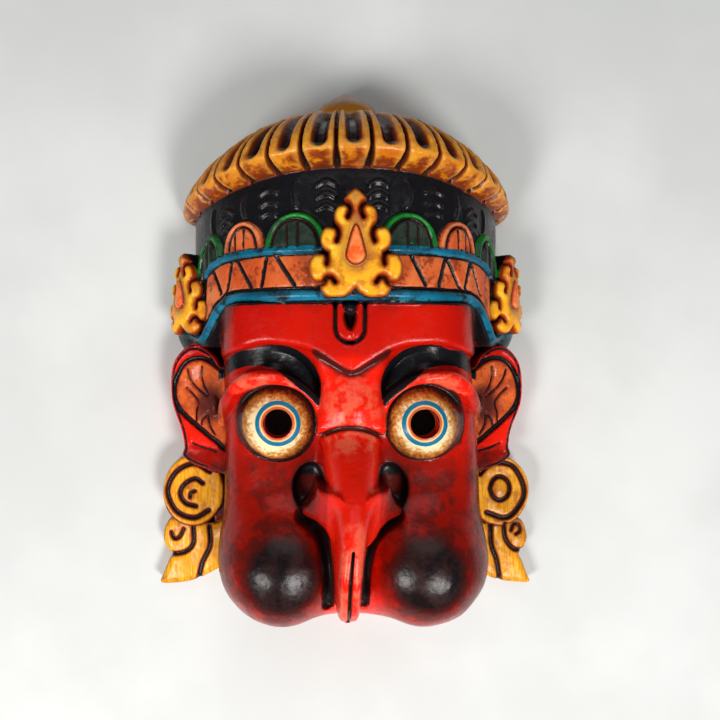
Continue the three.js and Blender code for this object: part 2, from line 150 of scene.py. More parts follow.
def along(line, x, y):
    """Distance to a line of points, and how far along it the nearest place is, from 0 to 1."""
    x, y = np.broadcast_arrays(np.asarray(x, np.float32), np.asarray(y, np.float32))
    best = np.full(x.shape, 1e6, np.float32)
    place = np.zeros(x.shape, np.float32)
    for i in range(len(line) - 1):
        (ax, ay), (dx, dy) = line[i, :2], line[i + 1, :2] - line[i, :2]
        t = np.clip(((x - ax) * dx + (y - ay) * dy) / max(dx * dx + dy * dy, 1e-9), 0, 1)
        d = (x - ax - t * dx) ** 2 + (y - ay - t * dy) ** 2
        closer = d < best
        best = np.where(closer, d, best)
        place = np.where(closer, (i + t) / (len(line) - 1), place)
    return np.sqrt(best), place


def stroke(points, x, y):
    """Distance to a smooth open stroke."""
    return along(spline(points), x, y)[0]


def beyond_cuts(cuts, x, y):
    """Distance outside the nearest of several cuts, given as line and half-width."""
    return np.minimum.reduce([stroke(line, x, y) - half for line, half in cuts])


def outline(line, x, y):
    """Signed distance to a closed outline: negative inside."""
    ring = np.vstack([line, line[:1]])
    distance = along(ring, x, y)[0]
    x, y = np.broadcast_arrays(np.asarray(x, np.float32), np.asarray(y, np.float32))
    inside = np.zeros(x.shape, bool)
    for (ax, ay), (bx, by) in zip(ring[:-1, :2], ring[1:, :2]):
        if ay == by:
            continue
        crosses = (ay > y) != (by > y)
        inside ^= crosses & (x < (bx - ax) * (y - ay) / (by - ay) + ax)
    return np.where(inside, -distance, distance)


def oval(x, y, centre, radii):
    """Signed distance to an oval, good near its edge."""
    u, v = (x - centre[0]) / radii[0], (y - centre[1]) / radii[1]
    level = np.sqrt(u * u + v * v)
    slope = np.sqrt((u / radii[0]) ** 2 + (v / radii[1]) ** 2) / np.maximum(level, 1e-3)
    return (level - 1) / np.maximum(slope, 1 / max(radii))


def ball(places, centre, radii):
    """Signed distance to an ellipsoid, at three arrays of places."""
    u, v, w = ((place - middle) / radius for place, middle, radius in zip(places, centre, radii))
    level = np.sqrt(u * u + v * v + w * w)
    slope = np.sqrt((u / radii[0]) ** 2 + (v / radii[1]) ** 2 + (w / radii[2]) ** 2)
    return (level - 1) * level / np.maximum(slope, 1e-3)


def half_round(x, z, across, deep, power):
    """Signed distance to a half superellipse that stands on z = 0."""
    u, v = np.abs(x) / across, np.maximum(z, 0) / deep
    level = np.maximum((u**power + v**power) ** (1 / power), 0.05)
    slope = np.sqrt((u ** (power - 1) / across) ** 2 + (v ** (power - 1) / deep) ** 2)
    return (level - 1) * level ** (power - 1) / np.maximum(slope, 1e-4)


def slab(edge, z, front, back, soft):
    """A plate: inside its edge, behind its front surface and in front of its back."""
    return soft_max(soft_max(edge, z - front, soft), back - z, 0)


# ---- sizes of the head ----
HEAD_SQUARENESS = 4.6
HEAD_TOP = 31.5
# Height, half-width, depth and middle line of the plain face that the features stand on.
HEAD = [
    (-206, 6, 10, 3),
    (-204.4, 34, 34, 3),
    (-201, 58, 52, 3),
    (-194, 77, 67, 3),
    (-182, 90, 78, 3.5),
    (-165, 97, 84, 3.5),
    (-140, 99, 85, 3.5),
    (-95, 99, 82, 3.5),
    (-53, 98, 80, 2),
    (0, 95.5, 86, -1),
    (44, 95.5, 92, -1),
    (60, 95.5, 92, -1),
]
CHEEK = {"x": 52.0, "y": -158.5, "z": 62.0, "radii": (47, 46, 46)}
CHEEKS_ASIDE = 2.5
CHEEK_PATCH = 26.0

EYE = {"x": 52.0, "y": -53.5, "z": 62.0, "radius": 32.0, "opening": 28.0}
PUPIL = 9.8

FOREHEAD_DEPTH = 99.5
# Lower edge of the forehead, from the middle outwards.
CREASE = [
    (-3, -18.0), (3, -17.6), (11.5, -12.7), (20, -7.2), (28.6, -2.2), (37, 0.2), (45, 1.3),
    (62, 2.0), (78, -1.0), (91, -6.4), (104, -12),
]
# The root of the nose, between the hollows of the brows.
ROOT = [
    (0, 6), (44, 6), (42.6, 0.8), (35.4, -3), (28.2, -9.5), (23, -19), (21.3, -29), (22.5, -41),
    (25, -50), (24, -60), (0, -60),
]
ROOT_DEPTH = 95.5
BROW_TOP = [
    (22.5, -41), (21.3, -29), (22.4, -20.3), (28.2, -9.5), (35.4, -3), (42.6, 0.6), (53.5, 2.4),
    (64.3, 1.3), (71.5, -0.9), (80, -1.9), (88.9, -6.6), (94.5, -13), (100, -18),
]
BROW_BOTTOM = [
    (100, -24), (94.6, -21.8), (86, -16.7), (77.2, -13.5), (67.2, -12.4), (58.5, -13.9),
    (51.3, -16.7), (45.5, -21.1), (35.4, -29.7), (29.6, -34.8), (24.6, -40.6),
]
# Ridge of the heavy upper lid: across, height, depth.
LID_RIDGE = [
    (96, -55, 52),
    (93.5, -45, 68),
    (88, -34.5, 82),
    (78, -24.2, 92),
    (66.5, -20.3, 98),
    (56, -20.3, 100),
    (47, -23, 99),
    (38, -28, 96),
    (31, -33.5, 93),
    (24, -41.5, 89),
    (21, -50, 86),
]
LID_EDGE = [
    (93, -60), (88.5, -52), (82, -43), (74, -32.9), (64, -26.8), (56, -25.2), (46, -27), (36, -33),
    (29, -42),
]
LID_THICK = 4.6

BEAK_ROOT = 40.0
# The beak leans to one side on its way down, and its section gets squarer: height, value.
BEAK_LEAN = 3.6
BEAK_SQUARENESS = [(-190, 5.5), (-150, 5.0), (-125, 3.0), (-105, 2.5), (0, 2.5)]
# Height, half-width, height of the ridge above the back.
BEAK = [
    (-185.4, 3.0, 108),
    (-184.6, 6.0, 115),
    (-181, 8.0, 124),
    (-173, 9.0, 134.5),
    (-160, 9.4, 143),
    (-150, 9.9, 146.3),
    (-138, 11.0, 147.6),
    (-128, 13.2, 147.2),
    (-118, 16.8, 144.5),
    (-108, 20.6, 140),
    (-97, 23.0, 132.5),
    (-80, 25.0, 118),
    (-64, 25.0, 102.5),
    (-56, 26.0, 98.5),
    (-42, 28, 100.5),
    (-25, 24, 96),
    (-10, 14, 88),
    (-2, 6, 80),
]
# The flange that the beak spreads into under each nostril, and the hollow of the nostril.
WING = [
    (8, -131), (14.5, -129.5), (18.5, -123.5), (24, -119.2), (33.6, -116.4), (34.4, -112),
    (30.5, -107.5), (27, -101), (24.5, -94), (20, -96), (8, -100),
]
NOSTRIL = [
    (21, -90), (24, -84.6), (30, -83.2), (36.5, -87.5), (41, -96), (40.5, -106), (37, -113),
    (33, -118.5), (22, -114), (20, -100),
]
NOSTRIL_FLOOR = 71.0
# The dark crease between beak and cheek: across, height, half-width.
BEAK_CREASE = [
    (33, -119, 4.5),
    (26, -122, 5.6),
    (20.4, -129, 4.8),
    (16.6, -139, 3.7),
    (13.6, -155, 3.4),
    (12.8, -170, 3.4),
    (12.8, -184, 3.6),
]
SADDLE = [(-25, -66), (-16, -59.5), (-4, -56), (8, -57), (18, -61), (26, -68)]
SLIT = {"top": -129, "bottom": -186, "half": 0.95, "depth": 5.0}
MARK = {"x": -1.2, "half": 10.4, "bottom": 3.6, "groove": 1.7, "depth": 3.6}

EAR_OUTLINE = [
    (86, -18), (98, -14), (103.5, -6.2), (108, -1.7), (114, 1.8), (120.4, 2.7), (126, 1.3),
    (131.6, -3), (136.2, -9), (138.6, -16), (139.6, -25), (139.4, -34), (138.2, -43), (135, -52),
    (131.8, -60), (129.3, -69), (128.2, -77), (128.8, -85), (112, -93), (86, -93),
]
EAR_FIELD = [
    (90, -22), (98, -18), (104, -14), (108.6, -10.8), (115, -8.8), (122.3, -9.9), (128.2, -14.4),
    (132.6, -22.7), (134.6, -32), (133.4, -40.5), (128.7, -48), (120.4, -55.3), (111, -62.5),
    (102, -69), (88, -74),
]
EAR_VEINS = [
    [(113.5, -13.6), (114.2, -20.9), (112.2, -28.2), (108.4, -35.5)],
    [(125.6, -15.8), (123.2, -23.6), (117.7, -30.9), (109.2, -36.9)],
    [(126.3, -30.4), (120.4, -36.4), (116.8, -41.9), (118.1, -49.3), (118.1, -57.4)],
    [(108.4, -50.1), (113.1, -54.7), (114.6, -62)],
    [(109, -51), (107.2, -59.3), (103, -66.6)],
]
LOBE_CUT = [(102, -79.2), (110, -77.6), (121, -73.9)]
TRAGUS = {"centre": (103, -44), "radii": (4, 8)}
DISC = {"centre": (122.5, -113.2), "radii": (24.6, 28.4), "front": 24.0}
LEAF = [
    (86, -134), (104, -140), (120, -139), (137, -136.5), (144.5, -140), (148, -152),
    (145.5, -160.5), (141, -166), (144, -172), (148, -182), (150.2, -189.4), (138.9, -189.4),
    (120.4, -185.7), (101.9, -176.3), (86, -171),
]
LEAF_FRONT = 19.0
# Cuts on the ear ornament of each side, as line and half-width.
SCROLLS = {
    -1: [
        ([(109, -98), (122, -91.6), (136, -98), (143, -113), (136, -129), (122, -134.8), (110, -129)], 1.9),
        (
            [(114.8, -107.4), (121.2, -103.7), (129.7, -108.3)]
            + [(132.9, -115.7), (128.7, -123), (120.3, -125.7)],
            1.8,
        ),
        ([(121, -113.6), (124.5, -115), (125, -118.5)], 1.5),
        ([(141.3, -147.9), (138.8, -153.1), (134.3, -151.4), (131, -145)], 1.5),
        ([(123.2, -143), (123.2, -156.3), (129.7, -163.5), (142, -165.9)], 1.8),
        ([(109.9, -143), (109.4, -157.9), (115.8, -172), (119.1, -186)], 1.9),
    ],
    1: [
        (
            [(107.6, -100), (113, -94), (122, -90.8), (135, -95)]
            + [(142.9, -113.7), (136, -129), (126.6, -135), (112.7, -130.6)],
            1.9,
        ),
        (
            [(115.4, -111.5), (118, -104.8), (123.3, -102), (129, -105), (131.2, -111.5)]
            + [(129, -118), (123.3, -121.1), (118, -118), (115.4, -111.5)],
            1.7,
        ),
        ([(134, -146.5), (136, -141.5), (140.5, -142), (141.3, -147), (138, -149.5)], 1.4),
        ([(127.5, -139.6), (129.3, -152.6), (135.7, -161.1), (144, -162.6)], 1.8),
        ([(116.9, -141.4), (117.8, -157.9), (122, -169.9), (124.8, -187)], 1.9),
    ],
}

# ---- sizes of the crown ----
DRUM = (123.0, 105.0)
DRUM_TOP = 131.0
SIDE_DROOP = 5.0
# How far the upper blue band hangs below its middle height: turn in degrees, fall.
BAND_SAG = [(0, -3.0), (20, -3.0), (30, -3.0), (44, -1.6), (50.6, 1.0), (56.8, 6.6), (62, 12), (90, 14)]
BANDS_END = 58.5
# Middle of the lower blue band, which sweeps down behind the temples: turn in degrees, height.
LOW_BAND = [
    (-5, 36.4), (0, 36.4), (30, 36.4), (41, 36.2), (46, 34.2), (51, 27.5), (56, 17), (61, 8),
    (66, 8), (72, 11), (79, 14), (86, 16), (90, 17),
]
LOW_HALF = 4.1
BAND_SKIRT = 5.8
HIGH_BAND = (64.6, 3.0)
CLAY_BAND = (41.6, 61.2)
BAND_PROUD = 4.8
# Turn round the drum of each slanting cut at the band's top and bottom edge, in degrees, on each side.
ZIGZAG = {
    -1: [(25.3, 18.6), (28.2, 30.3), (41.2, 34.6), (43.2, 45.9), (54.1, 49.2)],
    1: [(18.5, 24.1), (32.3, 29.3), (32.3, 38.3), (44.3, 41.2), (44.3, 50.5)],
}
PLAQUES = [
    {"turn": 18.4, "wide": 46, "tall": 27.5, "paint": "green"},
    {"turn": 38.2, "wide": 37, "tall": 25, "paint": "clay"},
    {"turn": 57.5, "wide": 36, "tall": 25, "paint": "green"},
]
PLAQUE_BASE = 66.8
# The bosses that the side jewels stand on.
SIDE_BOSS = {"centre": (112, 20, 10), "radii": (25, 30, 27)}
PETALS = 17
RIDGE = (133.0, 124.5)
RIDGE_HEIGHT = 133.2
RIDGE_DROOP = 24.9
RING_SCALE = 128.0
# Distance from the crown's axis and height above the ridge, both in the middle of the ring.
RING = [
    (0, -30), (100, -30), (106, -9.2), (112, -8.4), (122, -5.4), (127.2, -1.2), (128.2, 1.2),
    (127.4, 5), (124.5, 11.5), (119.5, 18.5), (112, 25.5), (101, 32.5), (86, 38), (60, 44), (0, 49),
]
FINIAL = [
    (0, 146), (56, 150), (46, 168), (31, 177), (26, 182), (24.4, 186.5), (21, 191), (14.6, 196),
    (7.4, 200.8), (2.4, 203.6), (0, 204.4),
]
FINIAL_AXIS = 25.0

# ---- the flame-shaped jewel, about its own middle ----
JEWEL_LOBES = [
    ((7.2, 20.4), (7.4, 8.6)),
    ((15.6, 5.4), (8.2, 9.4)),
    ((22.9, -13.8), (8.3, 10.6)),
    ((12.9, -25.6), (10.8, 9.4)),
]
JEWEL_CORE = [
    (0, 39.4), (3.6, 36.6), (7.6, 32.2), (7.2, 26), (13, 14), (18, -2), (20, -14), (19, -24),
    (6, -31), (3.2, -31), (0, -27.4),
]
JEWEL_SLOTS = [
    ([(10.5, 30.0), (6, 29.4), (3.4, 25), (5.2, 19.8)], 1.15),
    ([(17, 15.0), (12.6, 13), (11.2, 8.5), (12.6, 4)], 1.1),
    ([(24.6, -3), (20.4, -3.8), (18.9, -7.4), (19.2, -11.2)], 0.9),
    ([(25, -24.6), (21.4, -23.6), (19.2, -20.4), (16.2, -20), (13.6, -23.2)], 1.05),
]
GEM = {"centre": (0, -5.2), "radius": 7.2, "tip": 14.8}
FRONT_JEWEL = {"centre": (0.9, 66.5, 125.5), "scale": 1.0}
# The side jewels are bent round an upright axis.
SIDE_JEWEL = {"centre": (101.4, 41.0, 17.0), "turn": 46.0, "scale": 0.84, "bend": 38.5}


# ---- crown coordinates ----
def ellipse_length(across, deep):
    """Tables of turn in radians and arc length from the front of an ellipse."""
    turn = np.linspace(-math.pi / 2, math.pi / 2, 721)
    speed = np.hypot(across * np.cos(turn), deep * np.sin(turn))
    arc = np.concatenate([[0], np.cumsum((speed[1:] + speed[:-1]) / 2 * np.diff(turn))])
    return turn, arc - arc[len(arc) // 2]


TURN_TABLE, ARC_TABLE = ellipse_length(*DRUM)


def drum_place(x, z):
    """Distance outside the drum, turn from the front in radians, and arc length from the front."""
    u, v = x / DRUM[0], np.maximum(z, 0) / DRUM[1]
    level = np.maximum(np.sqrt(u * u + v * v), 1e-3)
    slope = np.sqrt((u / DRUM[0]) ** 2 + (v / DRUM[1]) ** 2)
    turn = np.arctan2(u, v)
    return (level - 1) * level / np.maximum(slope, 1e-4), turn, np.interp(turn, TURN_TABLE, ARC_TABLE)


def arc_at(degrees):
    return float(np.interp(math.radians(degrees), TURN_TABLE, ARC_TABLE))


SAG_LINE = spline(BAND_SAG)


def band_height(turn, y):
    """Height on the crown, with the sagging of the bands towards the temples taken out."""
    sag = np.interp(np.degrees(np.abs(turn)), SAG_LINE[:, 0], SAG_LINE[:, 1])
    high = ease(y, 76, 100)
    return y + sag * (1 - high) + SIDE_DROOP * np.sin(turn) ** 2 * high


def short_of_end(turn):
    """Distance along the wall to where the coloured bands end."""
    return (BANDS_END - np.degrees(np.abs(turn))) * 1.9


LOW_LINE = spline(LOW_BAND)
LOW_STEEPNESS = np.gradient(LOW_LINE[:, 1], np.interp(np.radians(LOW_LINE[:, 0]), TURN_TABLE, ARC_TABLE))


def above_low_band(turn, y):
    """Distance above the middle of the lower blue band."""
    degrees = np.degrees(np.abs(turn))
    middle = np.interp(degrees, LOW_LINE[:, 0], LOW_LINE[:, 1])
    steepness = np.interp(degrees, LOW_LINE[:, 0], LOW_STEEPNESS)
    return (y - middle) / np.sqrt(1 + steepness**2)


def zigzag_distance(arc, height):
    """Distance to the nearest slanting cut of the clay band."""
    lines = []
    for side, cuts in ZIGZAG.items():
        for top, bottom in cuts:
            ends = [(side * arc_at(top), CLAY_BAND[1] + 1), (side * arc_at(bottom), CLAY_BAND[0] - 1)]
            lines.append(along(np.array(ends), arc, height)[0])
    return np.minimum.reduce(lines)


def clay_band(turn, y):
    """Signed distance inside the clay band, which reaches down to the lower blue band."""
    over = above_low_band(turn, y) - (CLAY_BAND[0] - LOW_BAND[0][1])
    return np.minimum(np.minimum(over, short_of_end(turn)), CLAY_BAND[1] - band_height(turn, y))


PLAQUE_RIM = 6.0


def plaque_veins(across):
    """Distance to the two upright cuts in a plaque's inner field."""
    return np.minimum(np.abs(across + 2.2), np.abs(across - 5.5))


def plaque_place(plaque, arc, height):
    """Signed distance to a plaque's arched edge, and sideways place in it."""
    across = np.abs(arc) - arc_at(plaque["turn"])
    return oval(across, height, (0, PLAQUE_BASE - 3), (plaque["wide"] / 2, plaque["tall"] + 3)), across


def drum_marks(arc, height):
    """Distance to the drum's small arched cuts, which stand in columns, and to the tall bent ones between."""
    small = np.full(np.broadcast(arc, height).shape, 1e3)
    for column, first in ((18, 114.5), (60, 112), (98, 103)):
        for row in range(3):
            reach = 6.0 - 0.4 * row
            bow = first - 8.3 * row - 2.2 + 2.6 * hump(np.abs(arc) - column, reach)
            off = np.maximum(np.abs(np.abs(arc) - column) - reach, 0)
            small = np.minimum(small, np.hypot(off, height - bow))
    for column, middle in ((38.5, 107), (79, 103), (113, 97)):
        bend = column + 2.6 * np.cos((height - middle) / 10 * math.pi / 2)
        off = np.maximum(np.abs(height - middle) - 8, 0)
        small = np.minimum(small, np.hypot(off, np.abs(arc) - bend))
    return small


def crown_relief(turn, arc, y):
    """How far the crown's wall stands out from the plain drum."""
    height = band_height(turn, y)
    relief = np.zeros(np.broadcast(arc, y).shape, np.float32)
    marks = drum_marks(arc, height) + 50 * (height < 84)
    relief += 1.5 * hump(marks, 2.3)
    # Upright slots in the drum behind the temples.
    slots = np.abs(((np.abs(arc) - 122) % 9) - 4.5)
    slotted = ease(np.abs(arc), 121, 124) * ease(height, 80, 90) * ease(-height, -112, -104)
    relief -= 2.6 * hump(slots, 1.5) * slotted
    for plaque in PLAQUES:
        edge, across = plaque_place(plaque, arc, height)
        face = 3.9 * ease(-edge, 0, 1.6)
        face -= 2.8 * hump(np.abs(edge + PLAQUE_RIM), 1.6)
        face += 0.8 * ease(-edge, 7.5, 10.5)
        face -= 2.2 * hump(plaque_veins(across), 1.1) * ease(-edge, 7.6, 9)
        relief = np.maximum(relief, face * (height > PLAQUE_BASE - 4))
    clay = clay_band(turn, y)
    raised = 3.1 * ease(clay, -1, 0.8) - 2.1 * hump(zigzag_distance(arc, height), 2.0) * ease(clay, 0.6, 1.6)
    relief = np.where(clay > -1.2, raised, relief)
    upper = np.sqrt(hump(height - HIGH_BAND[0], HIGH_BAND[1])) * ease(short_of_end(turn), -1.5, 1.5)
    relief = np.maximum(relief, BAND_PROUD * upper)
    low = above_low_band(turn, y)
    relief = np.maximum(relief, (BAND_PROUD + 0.4) * np.sqrt(hump(low, LOW_HALF)))
    relief = np.maximum(relief, 2.4 * (low < 0))
    return relief


def ring_place(x, y, z):
    """Place on the ring: distance from the axis, height above the ridge, petal number, place across it."""
    u, v = x / RIDGE[0], np.maximum(z, 0) / RIDGE[1]
    radius = np.sqrt(u * u + v * v) * RING_SCALE
    turn = np.arctan2(u, np.maximum(v, 1e-4))
    droop = RIDGE_DROOP * ease(radius, 0.42 * RING_SCALE, 0.94 * RING_SCALE)
    height = y - RIDGE_HEIGHT + droop * np.abs(np.sin(turn)) ** 2.5
    count = (turn / math.pi + 0.5) * PETALS
    number = np.clip(np.floor(count), 0, PETALS - 1)
    return radius, height, number, (count - number - 0.5) * math.pi * radius / PETALS


RING_LINE = np.array(RING, float)
petal_dice = np.random.default_rng(SEED).uniform(-1, 1, (4, PETALS)).astype(np.float32)


def petal_cuts(radius, height, number, aside):
    """Depth of the cut between two petals, and of the channel down the middle of a petal."""
    half = math.pi * radius / PETALS / 2
    dice = petal_dice[:, number.astype(int)]
    to_edge = half - np.abs(aside)
    wedge = 1.1 * ease(-height, -1.5, 7)
    gap = 5.6 * (1 - ease(to_edge - wedge, 0.3, 1.7))
    width = half * (0.58 + 0.05 * dice[0]) * (0.92 + 0.12 * ease(height, 6, 30))
    foot = 1.4 + 1.0 * dice[1] + width
    shifted = aside - 0.7 * dice[2]
    inside = width - np.where(height > foot, np.abs(shifted), np.hypot(shifted, foot - height))
    channel = (7.6 + dice[3]) * ease(inside, -0.6, 4.6)
    return gap, channel


# ---- the jewel ----
def jewel_place(jewel, x, y, z):
    """A jewel's own coordinates: across, up and out of it."""
    cx, cy, cz = jewel["centre"]
    dx, dz = x - cx, z - cz
    up = (y - cy) / jewel["scale"]
    if "bend" in jewel:
        turned = np.arctan2(dx, dz) - math.radians(jewel["turn"])
        return turned * jewel["bend"] / jewel["scale"], up, np.hypot(dx, dz) - jewel["bend"]
    return dx / jewel["scale"], up, dz


def jewel_edge(u, v):
    """Signed distance to the jewel's outline."""
    u = np.abs(u)
    half = np.array(JEWEL_CORE)
    core = np.vstack([half, half[-2:0:-1] * (-1, 1)])
    edge = outline(core, u, v)
    for centre, radii in JEWEL_LOBES:
        edge = np.minimum(edge, oval(u, v, centre, radii))
    return edge


def jewel_slots(u, v):
    """Distance outside the curled slots."""
    u = np.abs(u)
    return beyond_cuts(JEWEL_SLOTS, u, v)


def gem_edge(u, v):
    """Signed distance to the drop-shaped gem."""
    up = np.clip((v - GEM["centre"][1]) / (GEM["tip"] - GEM["centre"][1]), 0, 1)
    width = GEM["radius"] * np.sqrt(np.clip(1 - up, 0, 1)) * (1 - 0.12 * up)
    below = np.hypot(u, v - GEM["centre"][1]) - GEM["radius"]
    return np.where(v > GEM["centre"][1], (np.abs(u) - width) * 0.85, below)


def jewel_height(u, v, edge):
    """Height of the jewel's face over its plane."""
    slots = jewel_slots(u, v)
    gem = gem_edge(u, v)
    height = 1.2 * ease(-edge, 0, 7) - 1.4 * hump(slots, 3.2)
    height -= 6.5 * (1 - ease(slots, -1.0, 0.7))
    height -= 0.9 * hump(np.hypot(u, v * 0.6), 13)
    height += 2.4 * np.sqrt(hump(np.maximum(gem + 6, 0), 6.2)) * (gem < 0.3) - 1.3 * hump(gem, 1.3)
    return height


def add_jewel(b, jewel, thick):
    u, v, out = jewel_place(jewel, *b.places)
    u, v = np.broadcast_arrays(u, v)
    if "bend" in jewel:
        # The face of a bent jewel is looked up in a table, because every layer of the grid crosses it.
        grid = np.arange(-50, 50.5, 0.5)
        edge_table = jewel_edge(grid[:, None], grid[None, :])
        face_table = jewel_height(grid[:, None], grid[None, :], edge_table)
        edge, face = table_at(edge_table, -50, 0.5, u, v), table_at(face_table, -50, 0.5, u, v)
    else:
        edge = jewel_edge(u[:, :, :1], v[:, :, :1])
        face = jewel_height(u[:, :, :1], v[:, :, :1], edge)
    edge = edge * jewel["scale"]
    b.add(soft_max(soft_max(edge, out - face, 4.2), -thick - out, 0.5), 0.5)


def table_at(table, start, step, u, v):
    """Reads a table between its points."""
    i = np.clip((u - start) / step, 0, table.shape[0] - 1.001)
    j = np.clip((v - start) / step, 0, table.shape[1] - 1.001)
    i0, j0 = i.astype(int), j.astype(int)
    a, c = i - i0, j - j0
    return (
        table[i0, j0] * (1 - a) * (1 - c)
        + table[i0 + 1, j0] * a * (1 - c)
        + table[i0, j0 + 1] * (1 - a) * c
        + table[i0 + 1, j0 + 1] * a * c
    )


# ---- carving, in the order of the work ----
def carve_head():
    b = Block((-106, 106), (-208, 60), (-6, 112))
    across, deep, middle = (profile(HEAD, b.y, column) for column in (1, 2, 3))
    b.add(soft_max(half_round(b.x - middle, b.z, across, deep, HEAD_SQUARENESS), b.y - HEAD_TOP, 1))
    for side in (-1, 1):
        cheek = Block((0, 106), (-210, -90), (-6, 114), side)
        centre = (CHEEK["x"] + side * CHEEKS_ASIDE, CHEEK["y"], CHEEK["z"])
        cheek.add(ball(cheek.places, centre, CHEEK["radii"]), 18)


def forehead_edge(x, y):
    """Signed distance to the forehead's outline: negative on the forehead."""
    ring = np.vstack([spline(CREASE), [(112, -18), (112, 60), (-3, 60)]])
    return outline(ring, np.abs(x), y)


def carve_forehead():
    b = Block((-108, 108), (-34, 50), (30, 116))
    across, middle = profile(HEAD, b.y) + 1.6, profile(HEAD, b.y, 3)
    shape = half_round(b.x - middle, b.z, across, FOREHEAD_DEPTH, HEAD_SQUARENESS)
    shape = soft_max(shape, forehead_edge(b.x[:, :, 0], b.y[:, :, 0])[:, :, None], 6)
    b.add(soft_max(shape, b.y - HEAD_TOP, 1.5), 1.5)
    root = Block((-50, 50), (-66, 10), (60, 110))
    x, y = root.x[:, :, 0], root.y[:, :, 0]
    edge = outline(spline(ROOT, True), np.abs(x), y)
    front = ROOT_DEPTH - 0.003 * x * x
    root.add(slab(edge[:, :, None], root.z, front[:, :, None], 50, 9), 2)


def brow_edge(x, y):
    ring = np.vstack([spline(BROW_TOP), spline(BROW_BOTTOM)])
    return outline(ring, np.abs(x), y)


def carve_brows_and_lids():
    ridge = spline(LID_RIDGE)
    hood = np.vstack([ridge[:, :2], spline(LID_EDGE)])
    for side in (-1, 1):
        b = Block((14, 106), (-66, 8), (40, 112), side)
        x, y = b.x[:, :, 0], b.y[:, :, 0]
        brow = brow_edge(x, y)
        b.sink((6.0 * ease(-brow, 0, 6) * ease(-x, -66, -34))[:, :, None])
        off, place = along(ridge, x, y)
        top = np.interp(place, np.linspace(0, 1, len(ridge)), ridge[:, 2])
        hood_edge = outline(hood, x, y)
        tube = np.hypot(off[:, :, None], np.maximum(np.abs(b.z - (top[:, :, None] - 12)) - 8, 0)) - LID_THICK
        skirt_top = top - 0.75 * off
        skirt = slab(hood_edge[:, :, None], b.z, skirt_top[:, :, None], 50, 3)
        b.add(soft_min(tube, skirt, 3), 2)


def carve_eyes():
    for side in (-1, 1):
        b = Block((14, 92), (-92, -14), (50, 104), side)
        off = np.hypot(b.x - EYE["x"], b.y - EYE["y"])
        socket = np.maximum(off - EYE["opening"], EYE["z"] + 12 - b.z)
        b.cut(socket, 1.5)
        b.add(np.sqrt(off**2 + (b.z - EYE["z"]) ** 2) - EYE["radius"], 1.0)


def beak_middle(y):
    return -BEAK_LEAN * ease(-y, 95, 158)


def carve_beak():
    b = Block((-40, 40), (-188, 0), (30, 154))
    half, ridge = (profile(BEAK, b.y, column) for column in (1, 2))
    power = np.interp(b.y, *np.array(BEAK_SQUARENESS).T)
    middle = beak_middle(b.y)
    b.add(half_round(b.x - middle, b.z - BEAK_ROOT, half, ridge - BEAK_ROOT, power), 4)
    x, y = b.x[:, :, 0], b.y[:, :, 0]
    b.sink((1.7 * hump(stroke(SADDLE, x, y), 2.4) * (1 - ease(np.abs(x), 24, 30)))[:, :, None] * (b.z > 80))
    crease = spline(BEAK_CREASE)
    for side in (-1, 1):
        w = Block((4, 52), (-190, -76), (60, 142), side)
        x, y = w.x[:, :, 0], w.y[:, :, 0]
        off, place = along(crease, x - side * beak_middle(y), y)
        half = np.interp(place, np.linspace(0, 1, len(crease)), crease[:, 2])
        w.sink((5.0 * hump(off, 1.4 * half))[:, :, None] * ease(w.z, 60, 72) * ease(-w.z, -118, -108))
        hole = outline(spline(NOSTRIL, True), x, y)
        w.cut(soft_max(hole[:, :, None], NOSTRIL_FLOOR - w.z, 7), 2.0)
        flange = outline(spline(WING, True, 4), x, y)
        top = 128 - 1.15 * (x - 10) + 0.35 * (y + 118)
        w.add(slab(flange[:, :, None], w.z, top[:, :, None], 62, 4.5), 3.0)
    x, y = np.broadcast_arrays(b.x, b.y)
    slit = np.maximum(np.abs(x - middle) - SLIT["half"], np.maximum(y - SLIT["top"], SLIT["bottom"] - y))
    b.cut(np.maximum(slit, -field[b.at] - SLIT["depth"]), 1.2)


def mark_distance(x, y):
    """Distance to the middle of the U-shaped cut in the forehead."""
    x, low = x - MARK["x"], MARK["bottom"] + MARK["half"]
    return np.where(y > low, np.abs(np.abs(x) - MARK["half"]), np.abs(np.hypot(x, y - low) - MARK["half"]))


def tongue_depth(x, y):
    """0 to 1 into the dark hollow inside the mark."""
    x = x - MARK["x"]
    return ease(hump(np.hypot(x, np.maximum(24 - y, 0) * 0.42), 5.6), 0, 0.8) * (y < 34)


def carve_mark():
    b = Block((-20, 20), (-4, 34), (84, 106))
    x, y = b.x[:, :, 0], b.y[:, :, 0]
    groove = hump(mark_distance(x, y), MARK["groove"]) * ease(-y, -33, -30)
    b.sink((MARK["depth"] * groove + 5.5 * tongue_depth(x, y))[:, :, None])
    b.add(ball(b.places, (MARK["x"], 27.5, 99), (5, 5.5, 7)), 1)


